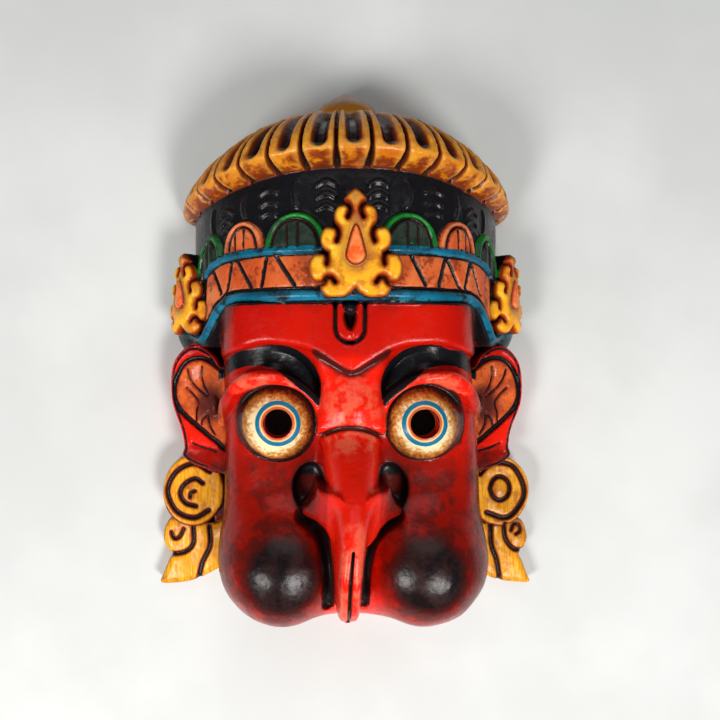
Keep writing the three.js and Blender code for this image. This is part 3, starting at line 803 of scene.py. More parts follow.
def carve_ears():
    ear, field_line, leaf = (spline(line, True) for line in (EAR_OUTLINE, EAR_FIELD, LEAF))
    for side, scrolls in SCROLLS.items():
        b = Block((80, 150), (-96, 6), (0, 56), side)
        x, y = b.x[:, :, 0], b.y[:, :, 0]
        edge, inner = outline(ear, x, y), outline(field_line, x, y)
        veins = np.minimum.reduce([stroke(v, x, y) for v in EAR_VEINS])
        front = 43 - 0.34 * (x - 95)
        front = front + 1.5 * hump(edge + 2.4, 3.0)
        moat = ease(-edge, 1.6, 3.0) * ease(inner, -0.8, 0.8) * (1 - ease(inner, 3.2, 4.6))
        front = front - 3.6 * moat - 1.6 * hump(edge + 2.2, 1.3) - 1.6 * hump(stroke(LOBE_CUT, x, y), 1.5)
        front = front - 2.6 * ease(-inner, 2, 16) - 2.2 * hump(veins, 1.5) * (inner < -1)
        b.add(slab(edge[:, :, None], b.z, front[:, :, None], 5, 3), 1.5)
        b.add(ball(b.places, (*TRAGUS["centre"], 36), (*TRAGUS["radii"], 9)), 2)
        d = Block((84, 156), (-196, -80), (0, 40), side)
        x, y = d.x[:, :, 0], d.y[:, :, 0]
        rim = oval(x, y, DISC["centre"], DISC["radii"])
        cuts = beyond_cuts(scrolls, x, y)
        sunk = 3.2 * (1 - ease(cuts, -1.6, 0.5))
        dome = DISC["front"] - 1.2 * ease(-rim, 0, 12) - sunk
        plate = outline(leaf, x, y)
        face = LEAF_FRONT - 0.08 * (x - 95) - sunk + 1.2 * ease(-plate, 0, 5)
        web = np.maximum(np.abs(x - 94) - 13, np.abs(y + 110) - 34)
        d.add(slab(web[:, :, None], d.z, 15.0, 2.0, 2))
        d.add(slab(plate[:, :, None], d.z, face[:, :, None], 1.6, 3.2), 0.5)
        d.add(slab(rim[:, :, None], d.z, dome[:, :, None], 1.6, 4.0), 0.4)


def carve_crown():
    b = Block((-142, 142), (-16, 140), (-6, 120))
    off, turn, arc = drum_place(b.x[:, 0, :], b.z[:, 0, :])
    # The wall's relief depends on arc length and height only, so it is worked out on that plane first.
    arcs = np.arange(ARC_TABLE[0], ARC_TABLE[-1] + 0.5, 0.5)
    turns = np.interp(arcs, ARC_TABLE, TURN_TABLE)
    heights = b.y[0, :, 0]
    relief = crown_relief(turns[:, None], arcs[:, None], heights[None, :])
    low = -BAND_SKIRT - above_low_band(turns[:, None], heights[None, :])
    ends = soft_max(low, heights[None, :] - DRUM_TOP, 0)
    place = (arc - arcs[0]) / 0.5
    first = np.clip(place.astype(int), 0, len(arcs) - 2)
    share = (place - first)[:, :, None]
    stands, ends = (
        (table[first] * (1 - share) + table[first + 1] * share).transpose(0, 2, 1).astype(np.float32)
        for table in (relief, ends)
    )
    b.add(soft_max((off[:, None, :] - stands) * 0.93, ends, 1.5), 0.8)
    for side in (-1, 1):
        boss = Block((80, 142), (-14, 56), (-6, 44), side)
        boss.add(ball(boss.places, SIDE_BOSS["centre"], SIDE_BOSS["radii"]), 3)


def ring_table():
    radii, heights = np.arange(0, 150, 0.5), np.arange(-45, 75, 0.5)
    return outline(RING_LINE, radii[:, None], heights[None, :])


RING_TABLE = ring_table()


def ring_distance(radius, height):
    return table_at(RING_TABLE, 0, 0.5, radius, height + 45)


def carve_petals():
    b = Block((-142, 142), (96, 190), (-6, 132))
    radius, height, number, aside = ring_place(b.x, b.y, b.z)
    distance = ring_distance(radius, height)
    gap, channel = petal_cuts(radius, height, number, aside)
    lean = ease(-height, -46, -30)
    b.add((distance + np.maximum(gap, channel) * lean).astype(np.float32), 0.5)
    top = Block((-64, 64), (142, 208), (-6, 90))
    reach = np.hypot(top.x, top.z - FINIAL_AXIS)
    line = np.array(FINIAL, float)
    ring = np.vstack([line[:1], spline(line[1:], per=5)])
    table = outline(ring, np.arange(0, 90, 0.5)[:, None], np.arange(136, 212, 0.5)[None, :])
    places = np.broadcast_arrays(reach, top.y - 136)
    top.add(table_at(table, 0, 0.5, *places).astype(np.float32), 1.5)


WALL = 17
# Rooms that widen the hollow behind the eyes, the cheeks and the nose.
ROOMS = [
    ((EYE["x"], EYE["y"], 58), (21, 21, 21)),
    ((-EYE["x"], EYE["y"], 58), (21, 21, 21)),
    ((CHEEK["x"] + CHEEKS_ASIDE, CHEEK["y"], CHEEK["z"]), (29, 28.5, 28.5)),
    ((CHEEKS_ASIDE - CHEEK["x"], CHEEK["y"], CHEEK["z"]), (29, 28.5, 28.5)),
    ((0, -98, 48), (15, 36, 58)),
]


def hollow(x, y, z, soft=0.0, room_soft=0.0):
    """Signed distance to the hollow: its face part, its crown part and the rooms."""
    across, deep, middle = (profile(HEAD, y, column) for column in (1, 2, 3))
    face = half_round(x - middle, z, np.maximum(across - WALL, 5), np.clip(deep - WALL, 5, 60), 2.8)
    face = np.maximum(face, np.maximum(-172 - y, y - 40))
    crown = np.maximum(half_round(x, z, 100, 84, 2), np.maximum(26 - y, y - 138))
    distance = soft_min(face, crown, soft)
    for centre, radii in ROOMS:
        distance = soft_min(distance, ball((x, y, z), centre, radii), room_soft)
    return distance


def hollow_out():
    b = Block((-110, 110), (-190, 146), (-6, 110))
    b.cut(hollow(*b.places, 6, 8), 1)
    for side in (-1, 1):
        p = Block((30, 74), (-76, -30), (10, 110), side)
        p.cut(np.broadcast_to(np.hypot(p.x - EYE["x"], p.y - EYE["y"]) - PUPIL, field[p.at].shape), 0.8)


def knife_marks():
    """Slow unevenness of a hand-cut surface, the same in every run."""
    dice = np.random.default_rng(SEED)
    for spacing, height in ((26.0, 0.38), (11.0, 0.22)):
        counts = [int(math.ceil((a[-1] - a[0]) / spacing)) + 4 for a in AXES]
        lattice = dice.normal(size=counts).astype(np.float32)
        for axis, values in enumerate(AXES):
            place = (values - values[0]) / spacing + 1
            low = place.astype(int)
            t = place - low
            weights = np.zeros((len(values), counts[axis]), np.float32)
            rows = np.arange(len(values))
            weights[rows, low - 1] = (1 - t) ** 3 / 6
            weights[rows, low] = (3 * t**3 - 6 * t**2 + 4) / 6
            weights[rows, low + 1] = (-3 * t**3 + 3 * t**2 + 3 * t + 1) / 6
            weights[rows, low + 2] = t**3 / 6
            lattice = np.moveaxis(np.tensordot(weights, lattice, (1, axis)), 0, axis)
        np.add(field, 2.2 * height * lattice, out=field)


def carve():
    carve_head()
    carve_forehead()
    carve_brows_and_lids()
    carve_eyes()
    carve_beak()
    carve_crown()
    carve_mark()
    carve_ears()
    carve_petals()
    add_jewel(Block((-38, 40), (34, 110), (98, 134)), FRONT_JEWEL, 22)
    for side in (-1, 1):
        add_jewel(Block((88, 152), (2, 82), (-4, 72), side), SIDE_JEWEL, 22)
    knife_marks()
    hollow_out()
    np.maximum(field, -AXES[2][None, None, :], out=field)


# ---- taking the surface out ----
def grid_at(values, points):
    """Values of a grid at points in millimetres."""
    places = [np.clip((points[:, i] - AXES[i][0]) / STEP, 0, len(AXES[i]) - 1.001) for i in range(3)]
    lows = [p.astype(int) for p in places]
    shares = [p - low for p, low in zip(places, lows)]
    total = np.zeros(len(points))
    for corner in range(8):
        offsets = [(corner >> i) & 1 for i in range(3)]
        weight = np.prod([s if o else 1 - s for s, o in zip(shares, offsets)], axis=0)
        total += weight * values[tuple(low + o for low, o in zip(lows, offsets))]
    return total


def surface_mesh():
    """The block's surface as a mesh of at most MOST_TRIANGLES triangles."""
    grid = openvdb.FloatGrid(3 * STEP)
    grid.copyFromArray(np.clip(field, -3 * STEP, 3 * STEP), ijk=(0, 0, 0), tolerance=0.0)
    grid.gridClass = "level set"
    points, quads = grid.convertToQuads(isovalue=0.0)
    points = (points * STEP + [a[0] for a in AXES]) * MM
    mesh = bpy.data.meshes.new("carved")
    mesh.from_pydata(points.tolist(), [], quads[:, ::-1].tolist())
    mesh.update()
    rough = bpy.data.objects.new("carved", mesh)
    bpy.context.scene.collection.objects.link(rough)
    # Vertices along the brows' painted edges are kept, so that the paint stays crisp on the flat temples.
    x, y, z = points.T / MM
    temple = (np.abs(x) > 58) & (np.abs(x) < 101) & (y > -32) & (y < 8) & (z > 30)
    near = np.flatnonzero(temple)
    near = near[np.abs(brow_edge(x[near], y[near])) < 2.0]
    rough.vertex_groups.new(name="kept").add(near.tolist(), 1.0, "REPLACE")
    fewer = rough.modifiers.new("fewer", "DECIMATE")
    fewer.vertex_group = "kept"
    fewer.invert_vertex_group = True
    fewer.ratio = min(1.0, MOST_TRIANGLES / (2 * len(quads)))
    graph = bpy.context.evaluated_depsgraph_get()
    final = bpy.data.meshes.new_from_object(rough.evaluated_get(graph))
    bpy.data.objects.remove(rough)
    bpy.data.meshes.remove(mesh)
    final.name = "mask_carving"
    return final


def vertex_places(mesh):
    flat = np.empty(3 * len(mesh.vertices), np.float32)
    mesh.vertices.foreach_get("co", flat)
    return flat.reshape(-1, 3) / MM


def smooth_shading(mesh, points):
    """Normals from the field itself, so that the shading doesn't show the triangles."""
    reach = 0.8 * STEP
    normals = np.stack(
        [grid_at(field, points + reach * axis) - grid_at(field, points - reach * axis) for axis in np.eye(3)],
        1,
    )
    normals[points[:, 2] < 0.3] = (0, 0, -1)
    normals /= np.maximum(np.linalg.norm(normals, axis=1, keepdims=True), 1e-6)
    mesh.polygons.foreach_set("use_smooth", np.ones(len(mesh.polygons), bool))
    mesh.normals_split_custom_set_from_vertices(normals.tolist())
    return normals


def blurred(values, reach):
    """A box blur, twice along each axis."""
    half = max(int(round(reach / STEP)), 1)
    for axis in (0, 1, 2):
        for _ in range(2):
            padded = np.moveaxis(values, axis, 0)
            padded = np.concatenate([padded[:1]] * (half + 1) + [padded] + [padded[-1:]] * half)
            total = np.cumsum(padded, axis=0, dtype=np.float32)
            values = np.moveaxis((total[2 * half + 1:] - total[: -2 * half - 1]) / (2 * half + 1), 0, axis)
    return values


# ---- paint: signed distances in millimetres, above 0 inside the painted area ----
FAR = -50.0


def paint_areas(points):
    x, y, z = (points[:, i].astype(np.float32) for i in range(3))
    ax = np.abs(x)
    off, turn, arc = drum_place(x, z)
    height = band_height(turn, y)
    areas = {}
    wall = np.minimum(off + 4, 20 - off)
    areas["clay"] = np.minimum(clay_band(turn, y) - 0.7, zigzag_distance(arc, height) - 1.5)
    green, inner_green, cuts = (np.full(len(x), FAR, np.float32) for _ in range(3))
    for plaque in PLAQUES:
        edge, across = plaque_place(plaque, arc, height)
        inside = np.minimum(-edge - 0.4, height - HIGH_BAND[0] - HIGH_BAND[1])
        cut = np.maximum(1.3 - np.abs(edge + PLAQUE_RIM), np.minimum(0.9 - plaque_veins(across), -edge - 7.8))
        cuts = np.maximum(cuts, np.minimum(cut, inside))
        if plaque["paint"] == "green":
            green = np.maximum(green, inside)
            inner_green = np.maximum(inner_green, np.minimum(-edge - PLAQUE_RIM, inside))
        else:
            areas["clay"] = np.maximum(areas["clay"], inside)
    areas["clay"] = np.minimum(areas["clay"], wall)
    areas["green"] = np.minimum(green, wall)
    areas["dull_green"] = np.minimum(inner_green, wall)
    areas["plaque_cut"] = np.minimum(cuts, wall)
    low = above_low_band(turn, y)
    upper = np.minimum(HIGH_BAND[1] - 0.4 - np.abs(height - HIGH_BAND[0]), short_of_end(turn))
    blue = np.maximum(LOW_HALF - 0.3 - np.abs(low), upper)
    areas["blue"] = np.minimum(np.minimum(blue, off + 1), 12 - off)
    # Painted shade: the blue darkens where the crown turns away at the sides, less on the right side, which
    # is lit more.
    areas["dim"] = ease(np.degrees(np.abs(turn)), 60, 66) * (1 - 0.3 * (x > 0))
    pad = np.hypot(ax - 112, y - 18) < 34
    areas["teal"] = np.where(pad & (x > 0), hump(y - 12, 26) * ease(ax, 100, 136), 0)
    # Everything of the crown that isn't painted otherwise is black.
    black = np.minimum(low + BAND_SKIRT + 0.6, np.where(y > 26, off + 16, off + 9))
    from_boss = ball((ax, y, z), SIDE_BOSS["centre"], SIDE_BOSS["radii"])
    black = np.maximum(black, np.minimum(1.5 - np.abs(from_boss), ax - 96))
    brow = -brow_edge(x, y)
    black = np.maximum(black, np.minimum(brow, z - 40))
    groove = MARK["groove"] - 0.3 - mark_distance(x, y)
    groove = np.minimum(groove, np.minimum(34 - y, z - 80))
    black = np.maximum(black, groove)
    radius, up, number, aside = ring_place(x, y, z)
    ring = ring_distance(radius, up)
    areas["petal"] = np.minimum(1.0 - ring, up + 10.5)
    gap, channel = petal_cuts(radius, up, number, aside)
    # Painted shade on the petals' lower faces and where the ring turns away at the sides.
    areas["petal_low_shade"] = ease(-up, -1.5, 7) + 0.35 * ease(np.abs(turn), 0.7, 1.3)
    areas["petal_dark"] = np.where(areas["petal"] > 0, np.maximum(gap - 2.2, channel - 3.4), -20)
    reach = np.hypot(x, z)
    areas["finial"] = np.minimum(np.minimum(y - 163, 62 - reach), ring + 0.5 + 6 * (y > 181))
    # Jewels.
    gold, coral, slot = (np.full(len(x), FAR, np.float32) for _ in range(3))
    halo = np.zeros(len(x), np.float32)
    for jewel in (FRONT_JEWEL, SIDE_JEWEL):
        u, v, out = jewel_place(jewel, ax if "bend" in jewel else x, y, z)
        close = (np.abs(u) < 45) & (np.abs(v) < 52) & (out > -12) & (out < 9)
        u, v, out = u[close], v[close], out[close]
        edge = -jewel_edge(u, v).astype(np.float32)
        gem = gem_edge(u, v)
        gold[close] = np.maximum(gold[close], np.minimum(edge + 0.8, out + 6.5))
        slot[close] = np.maximum(slot[close], np.minimum(0.2 - jewel_slots(u, v), edge))
        coral[close] = np.maximum(coral[close], -gem)
        halo[close] = np.maximum(halo[close], hump(np.maximum(gem, 0), 6))
    areas["gold"] = gold
    areas["coral"] = coral
    areas["slot"] = slot
    areas["halo"] = halo
    # Ears and their ornaments.
    ear = np.minimum(ax - 94.5, np.minimum(6 - y, y + 92))
    inner = -outline(spline(EAR_FIELD, True), ax, y)
    ear_edge = -outline(spline(EAR_OUTLINE, True), ax, y)
    areas["ear_field"] = np.minimum(np.minimum(inner, ear), z - 14)
    moat = np.minimum(np.minimum(-inner - 0.2, 4.0 + inner), ear_edge - 1.0)
    moat = np.maximum(moat, 0.95 - np.abs(ear_edge - 2.2))
    veins = np.minimum.reduce([stroke(v, ax, y) for v in EAR_VEINS])
    moat = np.maximum(moat, np.minimum(0.9 - veins, inner))
    moat = np.minimum(np.maximum(moat, 0.9 - stroke(LOBE_CUT, ax, y)), ear)
    moat = np.minimum(moat, 0.9 + oval(ax, y, TRAGUS["centre"], TRAGUS["radii"]))
    black = np.maximum(black, np.minimum(moat, z - 16))
    areas["maroon"] = np.where(areas["ear_field"] > -2, hump(np.hypot(ax - 107, (y + 43) * 0.8), 17), 0)
    disc = oval(ax, y, DISC["centre"], DISC["radii"])
    leaf = outline(spline(LEAF, True), ax, y)
    ornament = np.minimum(np.maximum(0.7 - disc, np.minimum(0.7 - leaf, -132 - y)), ax - 96.5)
    ornament = np.minimum(ornament, 30 - z)
    areas["ornament"] = ornament
    cuts = np.where(x > 0, beyond_cuts(SCROLLS[1], ax, y), beyond_cuts(SCROLLS[-1], ax, y))
    seam = np.abs(disc) * (y < -125) + 9 * (y >= -125)
    areas["scroll"] = np.minimum(np.maximum(0.1 - cuts, 0.9 - seam), np.minimum(ornament, z - 8))
    areas["black"] = black
    # Eyes, cheeks, nostrils and the open back.
    areas["eye"] = np.hypot(ax - EYE["x"], y - EYE["y"])
    # The whites are cream below and beside each iris, and darker towards the upper rim and, on the left eye,
    # the inner rim.
    toward_x, toward_y = (ax - EYE["x"]) / EYE["radius"], (y - EYE["y"]) / EYE["radius"]
    areas["eye_shade"] = 0.55 * toward_y - np.where(x < 0, 0.6, -0.05) * toward_x
    areas["globe"] = np.where(
        (z > 60) & (areas["eye"] < EYE["opening"] + 3),
        1.3 - np.abs(np.sqrt(areas["eye"] ** 2 + (z - EYE["z"]) ** 2) - EYE["radius"]),
        -10,
    )
    from_cheek = np.hypot(np.abs(x - CHEEKS_ASIDE) - CHEEK["x"] + 1, (y - CHEEK["y"]) * 0.95)
    areas["cheek"] = np.where(z > 60, CHEEK_PATCH - from_cheek, -30)
    areas["tongue"] = tongue_depth(x, y) * ((z > 85) & (y > 0)) * (np.abs(x) < 12)
    hole, flange = outline(spline(NOSTRIL, True), ax, y), outline(spline(WING, True, 4), ax, y)
    # The nostril is black round its rim and at its top, and dark red in the middle.
    rim_black = np.maximum(2.4 - np.abs(hole + 1.2), np.minimum(y + 93, -hole))
    by_nose = (z > 60) & (y < -70)
    areas["nostril"] = np.where(by_nose, np.minimum(1.2 - hole, flange - 0.6), -10)
    areas["nostril_black"] = np.where(by_nose, np.minimum(rim_black, flange - 0.6), -10)
    # The crease area: dark paint with painted shade in the creases beside the beak, and painted shade under
    # the forehead's edge, along the saddle and round the outer side of each eye.
    crease = spline(BEAK_CREASE)
    from_beak = np.abs(x - beak_middle(y))
    away, place = along(crease, from_beak, y)
    half = np.interp(place, np.linspace(0, 1, len(crease)), crease[:, 2])
    in_crease = hump(away, 1.5 * half) * ease(z, 45, 60) * ease(-z, -122, -108) * ease(flange, -1.0, 1.0)
    fold = stroke(CREASE, ax, y) + 1.2 * np.maximum(ax - 26, 0)
    in_fold = 0.42 * hump(fold, 4.0) * (z > 80)
    under = 0.5 * hump(stroke(SADDLE, x, y), 2.6) * (z > 85) * (1 - ease(ax, 24, 29))
    beside = 0.9 * hump(areas["eye"] - EYE["opening"] - 0.5, 4.5) * ease(ax - EYE["x"], 6, 20)
    beside = beside * ease(-y, 26, 36) * ease(y, -76, -62)
    areas["crease"] = np.maximum(np.maximum(in_crease, in_fold), np.maximum(under, beside * (z > 50)))
    # Bare wood: the back rim, and what is within 3 mm of the hollow.
    areas["bare"] = np.maximum(np.where(z < 0.4, 5, -10), 3.0 - hollow(*points.T))
    areas["slit"] = np.minimum(SLIT["half"] + 0.2 - from_beak, np.minimum(SLIT["top"] - y, z - 100))
    return areas


# ---- material ----
class Nodes:
    """A short way to write a shader's node tree."""

    def __init__(self, material):
        material.use_nodes = True
        self.tree = material.node_tree
        self.tree.nodes.clear()

    def new(self, kind, inputs=None, **settings):
        node = self.tree.nodes.new(kind)
        for name, value in settings.items():
            setattr(node, name, value)
        for name, value in (inputs or {}).items():
            self.put(node.inputs[name], value)
        return node

    def put(self, socket, value):
        if isinstance(value, bpy.types.NodeSocket):
            self.tree.links.new(value, socket)
        elif isinstance(value, tuple) and len(value) == 3 and socket.type == "RGBA":
            socket.default_value = (*value, 1.0)
        else:
            socket.default_value = value

    def area(self, name):
        return self.new("ShaderNodeAttribute", attribute_name=name).outputs["Fac"]

    def math(self, kind, a, b=0.0, clamp=False):
        node = self.new("ShaderNodeMath", {0: a, 1: b}, operation=kind)
        node.use_clamp = clamp
        return node.outputs[0]

    def fit(self, value, start, end, low=0.0, high=1.0):
        """Eases `value` from low at start to high at end."""
        inputs = {"Value": value, "From Min": start, "From Max": end, "To Min": low, "To Max": high}
        return self.new("ShaderNodeMapRange", inputs, interpolation_type="SMOOTHSTEP").outputs[0]

    def add(self, a, b):
        return self.math("ADD", a, b)

    def less(self, a, b, clamp=False):
        return self.math("SUBTRACT", a, b, clamp)

    def times(self, a, b):
        return self.math("MULTIPLY", a, b)

    def mix(self, share, a, b):
        node = self.new("ShaderNodeMix", data_type="RGBA", blend_type="MIX")
        self.put(node.inputs[0], share)
        self.put(node.inputs[6], a)
        self.put(node.inputs[7], b)
        return node.outputs[2]

    def wash(self, base, value, start, end, colour):
        """Paints `colour` over `base`, fully where `value` has passed `end`."""
        return self.mix(self.fit(value, start, end), base, colour)

    def noise(self, scale, detail=3.0, rough=0.55, stretch=None, distort=0.0):
        place = self.place
        if stretch:
            place = self.new("ShaderNodeMapping", {"Vector": place, "Scale": stretch}).outputs[0]
        inputs = {"Vector": place, "Scale": scale, "Detail": detail, "Roughness": rough}
        return self.new("ShaderNodeTexNoise", {**inputs, "Distortion": distort}).outputs[0]


RED = (0.46, 0.004, 0.001)
BRIGHT_RED = (0.62, 0.009, 0.001)
HIGHLIGHT_RED = (0.82, 0.12, 0.06)
DARK_RED = (0.28, 0.005, 0.001)
MAROON = (0.085, 0.005, 0.003)
SHADE_AND_PAINT_BLACK = (0.012, 0.011, 0.012)
BLACK = (0.006, 0.006, 0.008)


def painted_wood():
    material = bpy.data.materials.new("painted_wood")
    n = Nodes(material)
    n.place = n.new("ShaderNodeTexCoord").outputs["Object"]
    fine = n.noise(900.0, 4.0, 0.6)
    grit = n.noise(380.0, 5.0, 0.65)
    mottle = n.noise(90.0, 5.0, 0.62)
    cloud = n.noise(22.0, 4.0, 0.6, distort=0.6)
    broad = n.noise(9.0, 2.0, 0.5)
    hollow_shade = n.area("hollow_shade")
    ridge = n.area("ridge")
    # A distance is shaken a little, so that brush edges aren't ruler-drawn.
    shake = n.times(n.less(n.noise(260.0, 2.0), 0.5), 1.3)

    def inside(name, soft=0.35, move=0.0):
        value = n.add(n.add(n.area(name), shake), move)
        return n.fit(value, -soft, soft)

    # Red lacquer, darkened by age in cloudy blotches and by painted shade where the face turns away and in
    # its hollows, and brightened by painted highlights on the nose, lids and beak.
    stain_and_painted_light = n.area("stain_and_painted_light")
    blotch = n.add(n.times(cloud, 0.9), n.times(mottle, 0.5))
    aged_and_shaded = n.add(n.times(stain_and_painted_light, 1.15), n.less(blotch, 0.78))
    colour = n.mix(n.fit(broad, 0.42, 0.7), RED, BRIGHT_RED)
    # Painted highlight: a brighter red where the value is below 0, then a pale pinkish red on the nose
    # bridge, lids and beak.
    colour = n.wash(colour, stain_and_painted_light, -0.04, -0.24, (0.80, 0.011, 0.002))
    painted_highlight = n.times(n.fit(stain_and_painted_light, -0.30, -0.50), n.fit(mottle, 0.42, 0.58))
    colour = n.mix(n.times(painted_highlight, 0.8), colour, HIGHLIGHT_RED)
    # Painted shade together with age: darker red, then maroon, where the value is above 0.
    colour = n.wash(colour, aged_and_shaded, 0.0, 0.45, DARK_RED)
    darkest = n.add(aged_and_shaded, n.times(n.less(mottle, 0.5), 1.6))
    colour = n.mix(n.times(n.fit(darkest, 0.50, 0.95), 0.8), colour, MAROON)
    specks = n.times(n.fit(grit, 0.57, 0.70), n.fit(mottle, 0.45, 0.62))
    colour = n.mix(n.times(specks, 0.7), colour, (0.03, 0.008, 0.006))

    # Dark patches on the cheeks, with soft edges.
    patch = n.add(n.area("cheek"), n.times(n.less(mottle, 0.5), 12.0))
    patch_colour = n.mix(n.fit(mottle, 0.4, 0.65), (0.007, 0.004, 0.005), (0.022, 0.008, 0.007))
    colour = n.wash(colour, patch, -7.0, 0.0, MAROON)
    colour = n.wash(colour, patch, -3.0, 6.0, patch_colour)
    # Painted shade in the creases, dark red then near-black; beside the beak it is also dark paint.
    colour = n.wash(colour, n.area("crease"), 0.0, 0.35, MAROON)
    colour = n.wash(colour, n.area("crease"), 0.25, 0.8, SHADE_AND_PAINT_BLACK)
    colour = n.wash(colour, n.area("nostril"), -3.0, 0.8, MAROON)
    colour = n.wash(colour, n.area("nostril_black"), -1.0, 2.0, BLACK)
    colour = n.wash(colour, n.area("tongue"), 0.15, 0.8, BLACK)

    # The eyes: rings of colour round the pupil on a cream globe.
    eye = n.add(n.area("eye"), n.times(shake, 0.45))
    tone = n.add(n.fit(eye, 15.0, 30.0, 0.1, 1.2), n.times(n.area("eye_shade"), 0.62))
    tone = n.add(tone, n.times(n.less(mottle, 0.5), 1.0))
    tone = n.add(tone, n.times(n.less(grit, 0.5), 1.5))
    cream = n.mix(n.fit(tone, 0.05, 0.45), (0.86, 0.68, 0.40), (0.56, 0.25, 0.05))
    cream = n.wash(cream, tone, 0.36, 0.80, (0.30, 0.075, 0.014))
    cream = n.wash(cream, tone, 0.72, 1.15, (0.06, 0.012, 0.006))
    cream = n.wash(cream, eye, 25.2, 27.4, (0.025, 0.005, 0.004))
    iris = n.mix(n.fit(eye, 16.0, 16.5), (0.005, 0.15, 0.27), cream)
    iris = n.mix(n.fit(eye, 12.9, 13.4), (0.85, 0.50, 0.20), iris)
    iris = n.mix(n.fit(eye, 11.7, 12.4), (0.62, 0.10, 0.015), iris)
    iris = n.mix(n.fit(eye, 10.2, 10.8), BLACK, iris)
    colour = n.wash(colour, n.area("globe"), -0.3, 0.3, iris)

    # Black paint, rubbed to grey where it stands proud.
    worn = n.times(n.fit(ridge, 0.3, 1.0), n.fit(mottle, 0.42, 0.6))
    black = n.mix(n.times(worn, 0.5), BLACK, (0.022, 0.023, 0.027))
    black = n.mix(n.times(n.area("teal"), n.fit(mottle, 0.35, 0.55)), black, (0.006, 0.055, 0.07))
    colour = n.mix(inside("black"), colour, black)

    # Clay-coloured band, plaques and the ears' inner field.
    clay = n.mix(n.fit(cloud, 0.35, 0.65), (0.58, 0.085, 0.018), (0.74, 0.20, 0.06))
    worked = n.add(mottle, n.times(grit, 0.45))
    clay = n.mix(n.times(n.fit(worked, 0.70, 0.86), 0.85), clay, (0.22, 0.028, 0.008))
    clay = n.mix(n.times(n.fit(ridge, 0.2, 0.9), 0.4), clay, (0.85, 0.36, 0.16))
    colour = n.mix(inside("clay"), colour, clay)
    ear = n.mix(n.fit(mottle, 0.40, 0.66), (0.72, 0.13, 0.028), (0.42, 0.055, 0.014))
    ear = n.mix(n.times(n.fit(grit, 0.5, 0.64), 0.5), ear, (0.20, 0.03, 0.010))
    ear = n.wash(ear, n.area("maroon"), 0.1, 0.9, (0.10, 0.016, 0.012))
    is_ear = n.less(inside("ear_field"), n.fit(n.area("black"), -0.35, 0.35), clamp=True)
    colour = n.mix(is_ear, colour, ear)

    # Green plaques and blue bands, with black worked into them.
    green = n.mix(n.fit(cloud, 0.4, 0.6), (0.002, 0.13, 0.016), (0.006, 0.24, 0.028))
    green = n.mix(n.times(n.fit(mottle, 0.45, 0.62), 0.85), green, (0.018, 0.03, 0.022))
    colour = n.mix(inside("green"), colour, green)
    dull = n.mix(n.fit(mottle, 0.35, 0.65), (0.010, 0.020, 0.013), (0.03, 0.045, 0.034))
    colour = n.mix(inside("dull_green"), colour, dull)
    colour = n.mix(inside("plaque_cut"), colour, (0.02, 0.008, 0.006))
    blue = n.mix(n.fit(cloud, 0.36, 0.62), (0.003, 0.10, 0.17), (0.008, 0.18, 0.30))
    # Black worked into the blue, with some painted shade in its hollows.
    blue = n.wash(blue, n.add(mottle, n.times(hollow_shade, 0.3)), 0.48, 0.66, (0.008, 0.018, 0.022))
    # Painted shade where the crown turns away at the sides.
    blue = n.mix(n.area("dim"), blue, (0.005, 0.030, 0.036))
    colour = n.mix(inside("blue"), colour, blue)

    # Amber petals, burnt in the cuts, with painted shade on their lower faces and in hollows.
    amber = n.mix(n.fit(cloud, 0.34, 0.62), (0.72, 0.20, 0.006), (0.95, 0.41, 0.015))
    # Burnt darkening mixed with painted shade in hollows, on the lower faces and towards the sides.
    burn_and_shade = n.add(n.add(mottle, n.times(hollow_shade, 0.5)), n.times(n.area("petal_low_shade"), 0.16))
    amber = n.wash(amber, burn_and_shade, 0.52, 0.70, (0.22, 0.028, 0.003))
    amber = n.wash(amber, n.add(burn_and_shade, n.times(grit, 0.5)), 0.90, 1.06, (0.05, 0.010, 0.005))
    # Painted highlight along the petals' raised edges.
    amber = n.mix(n.times(n.fit(ridge, 0.2, 0.8), 0.7), amber, (0.98, 0.52, 0.07))
    char = n.mix(n.fit(cloud, 0.4, 0.6), (0.040, 0.010, 0.006), (0.006, 0.006, 0.007))
    burnt = n.add(n.area("petal_dark"), n.times(shake, 0.8))
    amber = n.wash(amber, burnt, -3.6, -0.6, (0.30, 0.045, 0.006))
    amber = n.wash(amber, burnt, -2.0, 0.6, (0.09, 0.016, 0.006))
    amber = n.wash(amber, burnt, 0.6, 3.4, char)
    colour = n.mix(inside("petal"), colour, amber)
    ogee = n.mix(n.fit(n.area("lift"), 185.0, 192.0), (0.62, 0.23, 0.016), (0.34, 0.19, 0.13))
    colour = n.mix(inside("finial"), colour, ogee)

    # Gold jewels, with red-brown washed round the slots and the gem.
    gold = n.mix(n.fit(cloud, 0.34, 0.66), (0.86, 0.29, 0.006), (0.98, 0.53, 0.03))
    gold = n.mix(n.times(n.fit(mottle, 0.46, 0.62), 0.65), gold, (0.42, 0.085, 0.008))
    gold = n.mix(n.times(n.area("halo"), 0.6), gold, (0.26, 0.07, 0.03))
    gold = n.wash(gold, n.area("slot"), -3.2, -0.2, (0.34, 0.03, 0.004))
    gold = n.wash(gold, n.area("slot"), -0.5, 0.5, (0.035, 0.012, 0.010))
    gold = n.wash(gold, n.area("gold"), 3.6, 0.8, (0.26, 0.025, 0.003))
    colour = n.mix(inside("gold"), colour, gold)
    coral = n.mix(n.fit(mottle, 0.4, 0.62), (0.78, 0.10, 0.015), (0.88, 0.24, 0.07))
    coral = n.wash(coral, n.area("coral"), 2.0, 0.3, (0.14, 0.012, 0.004))
    colour = n.wash(colour, n.area("coral"), -0.3, 0.3, coral)

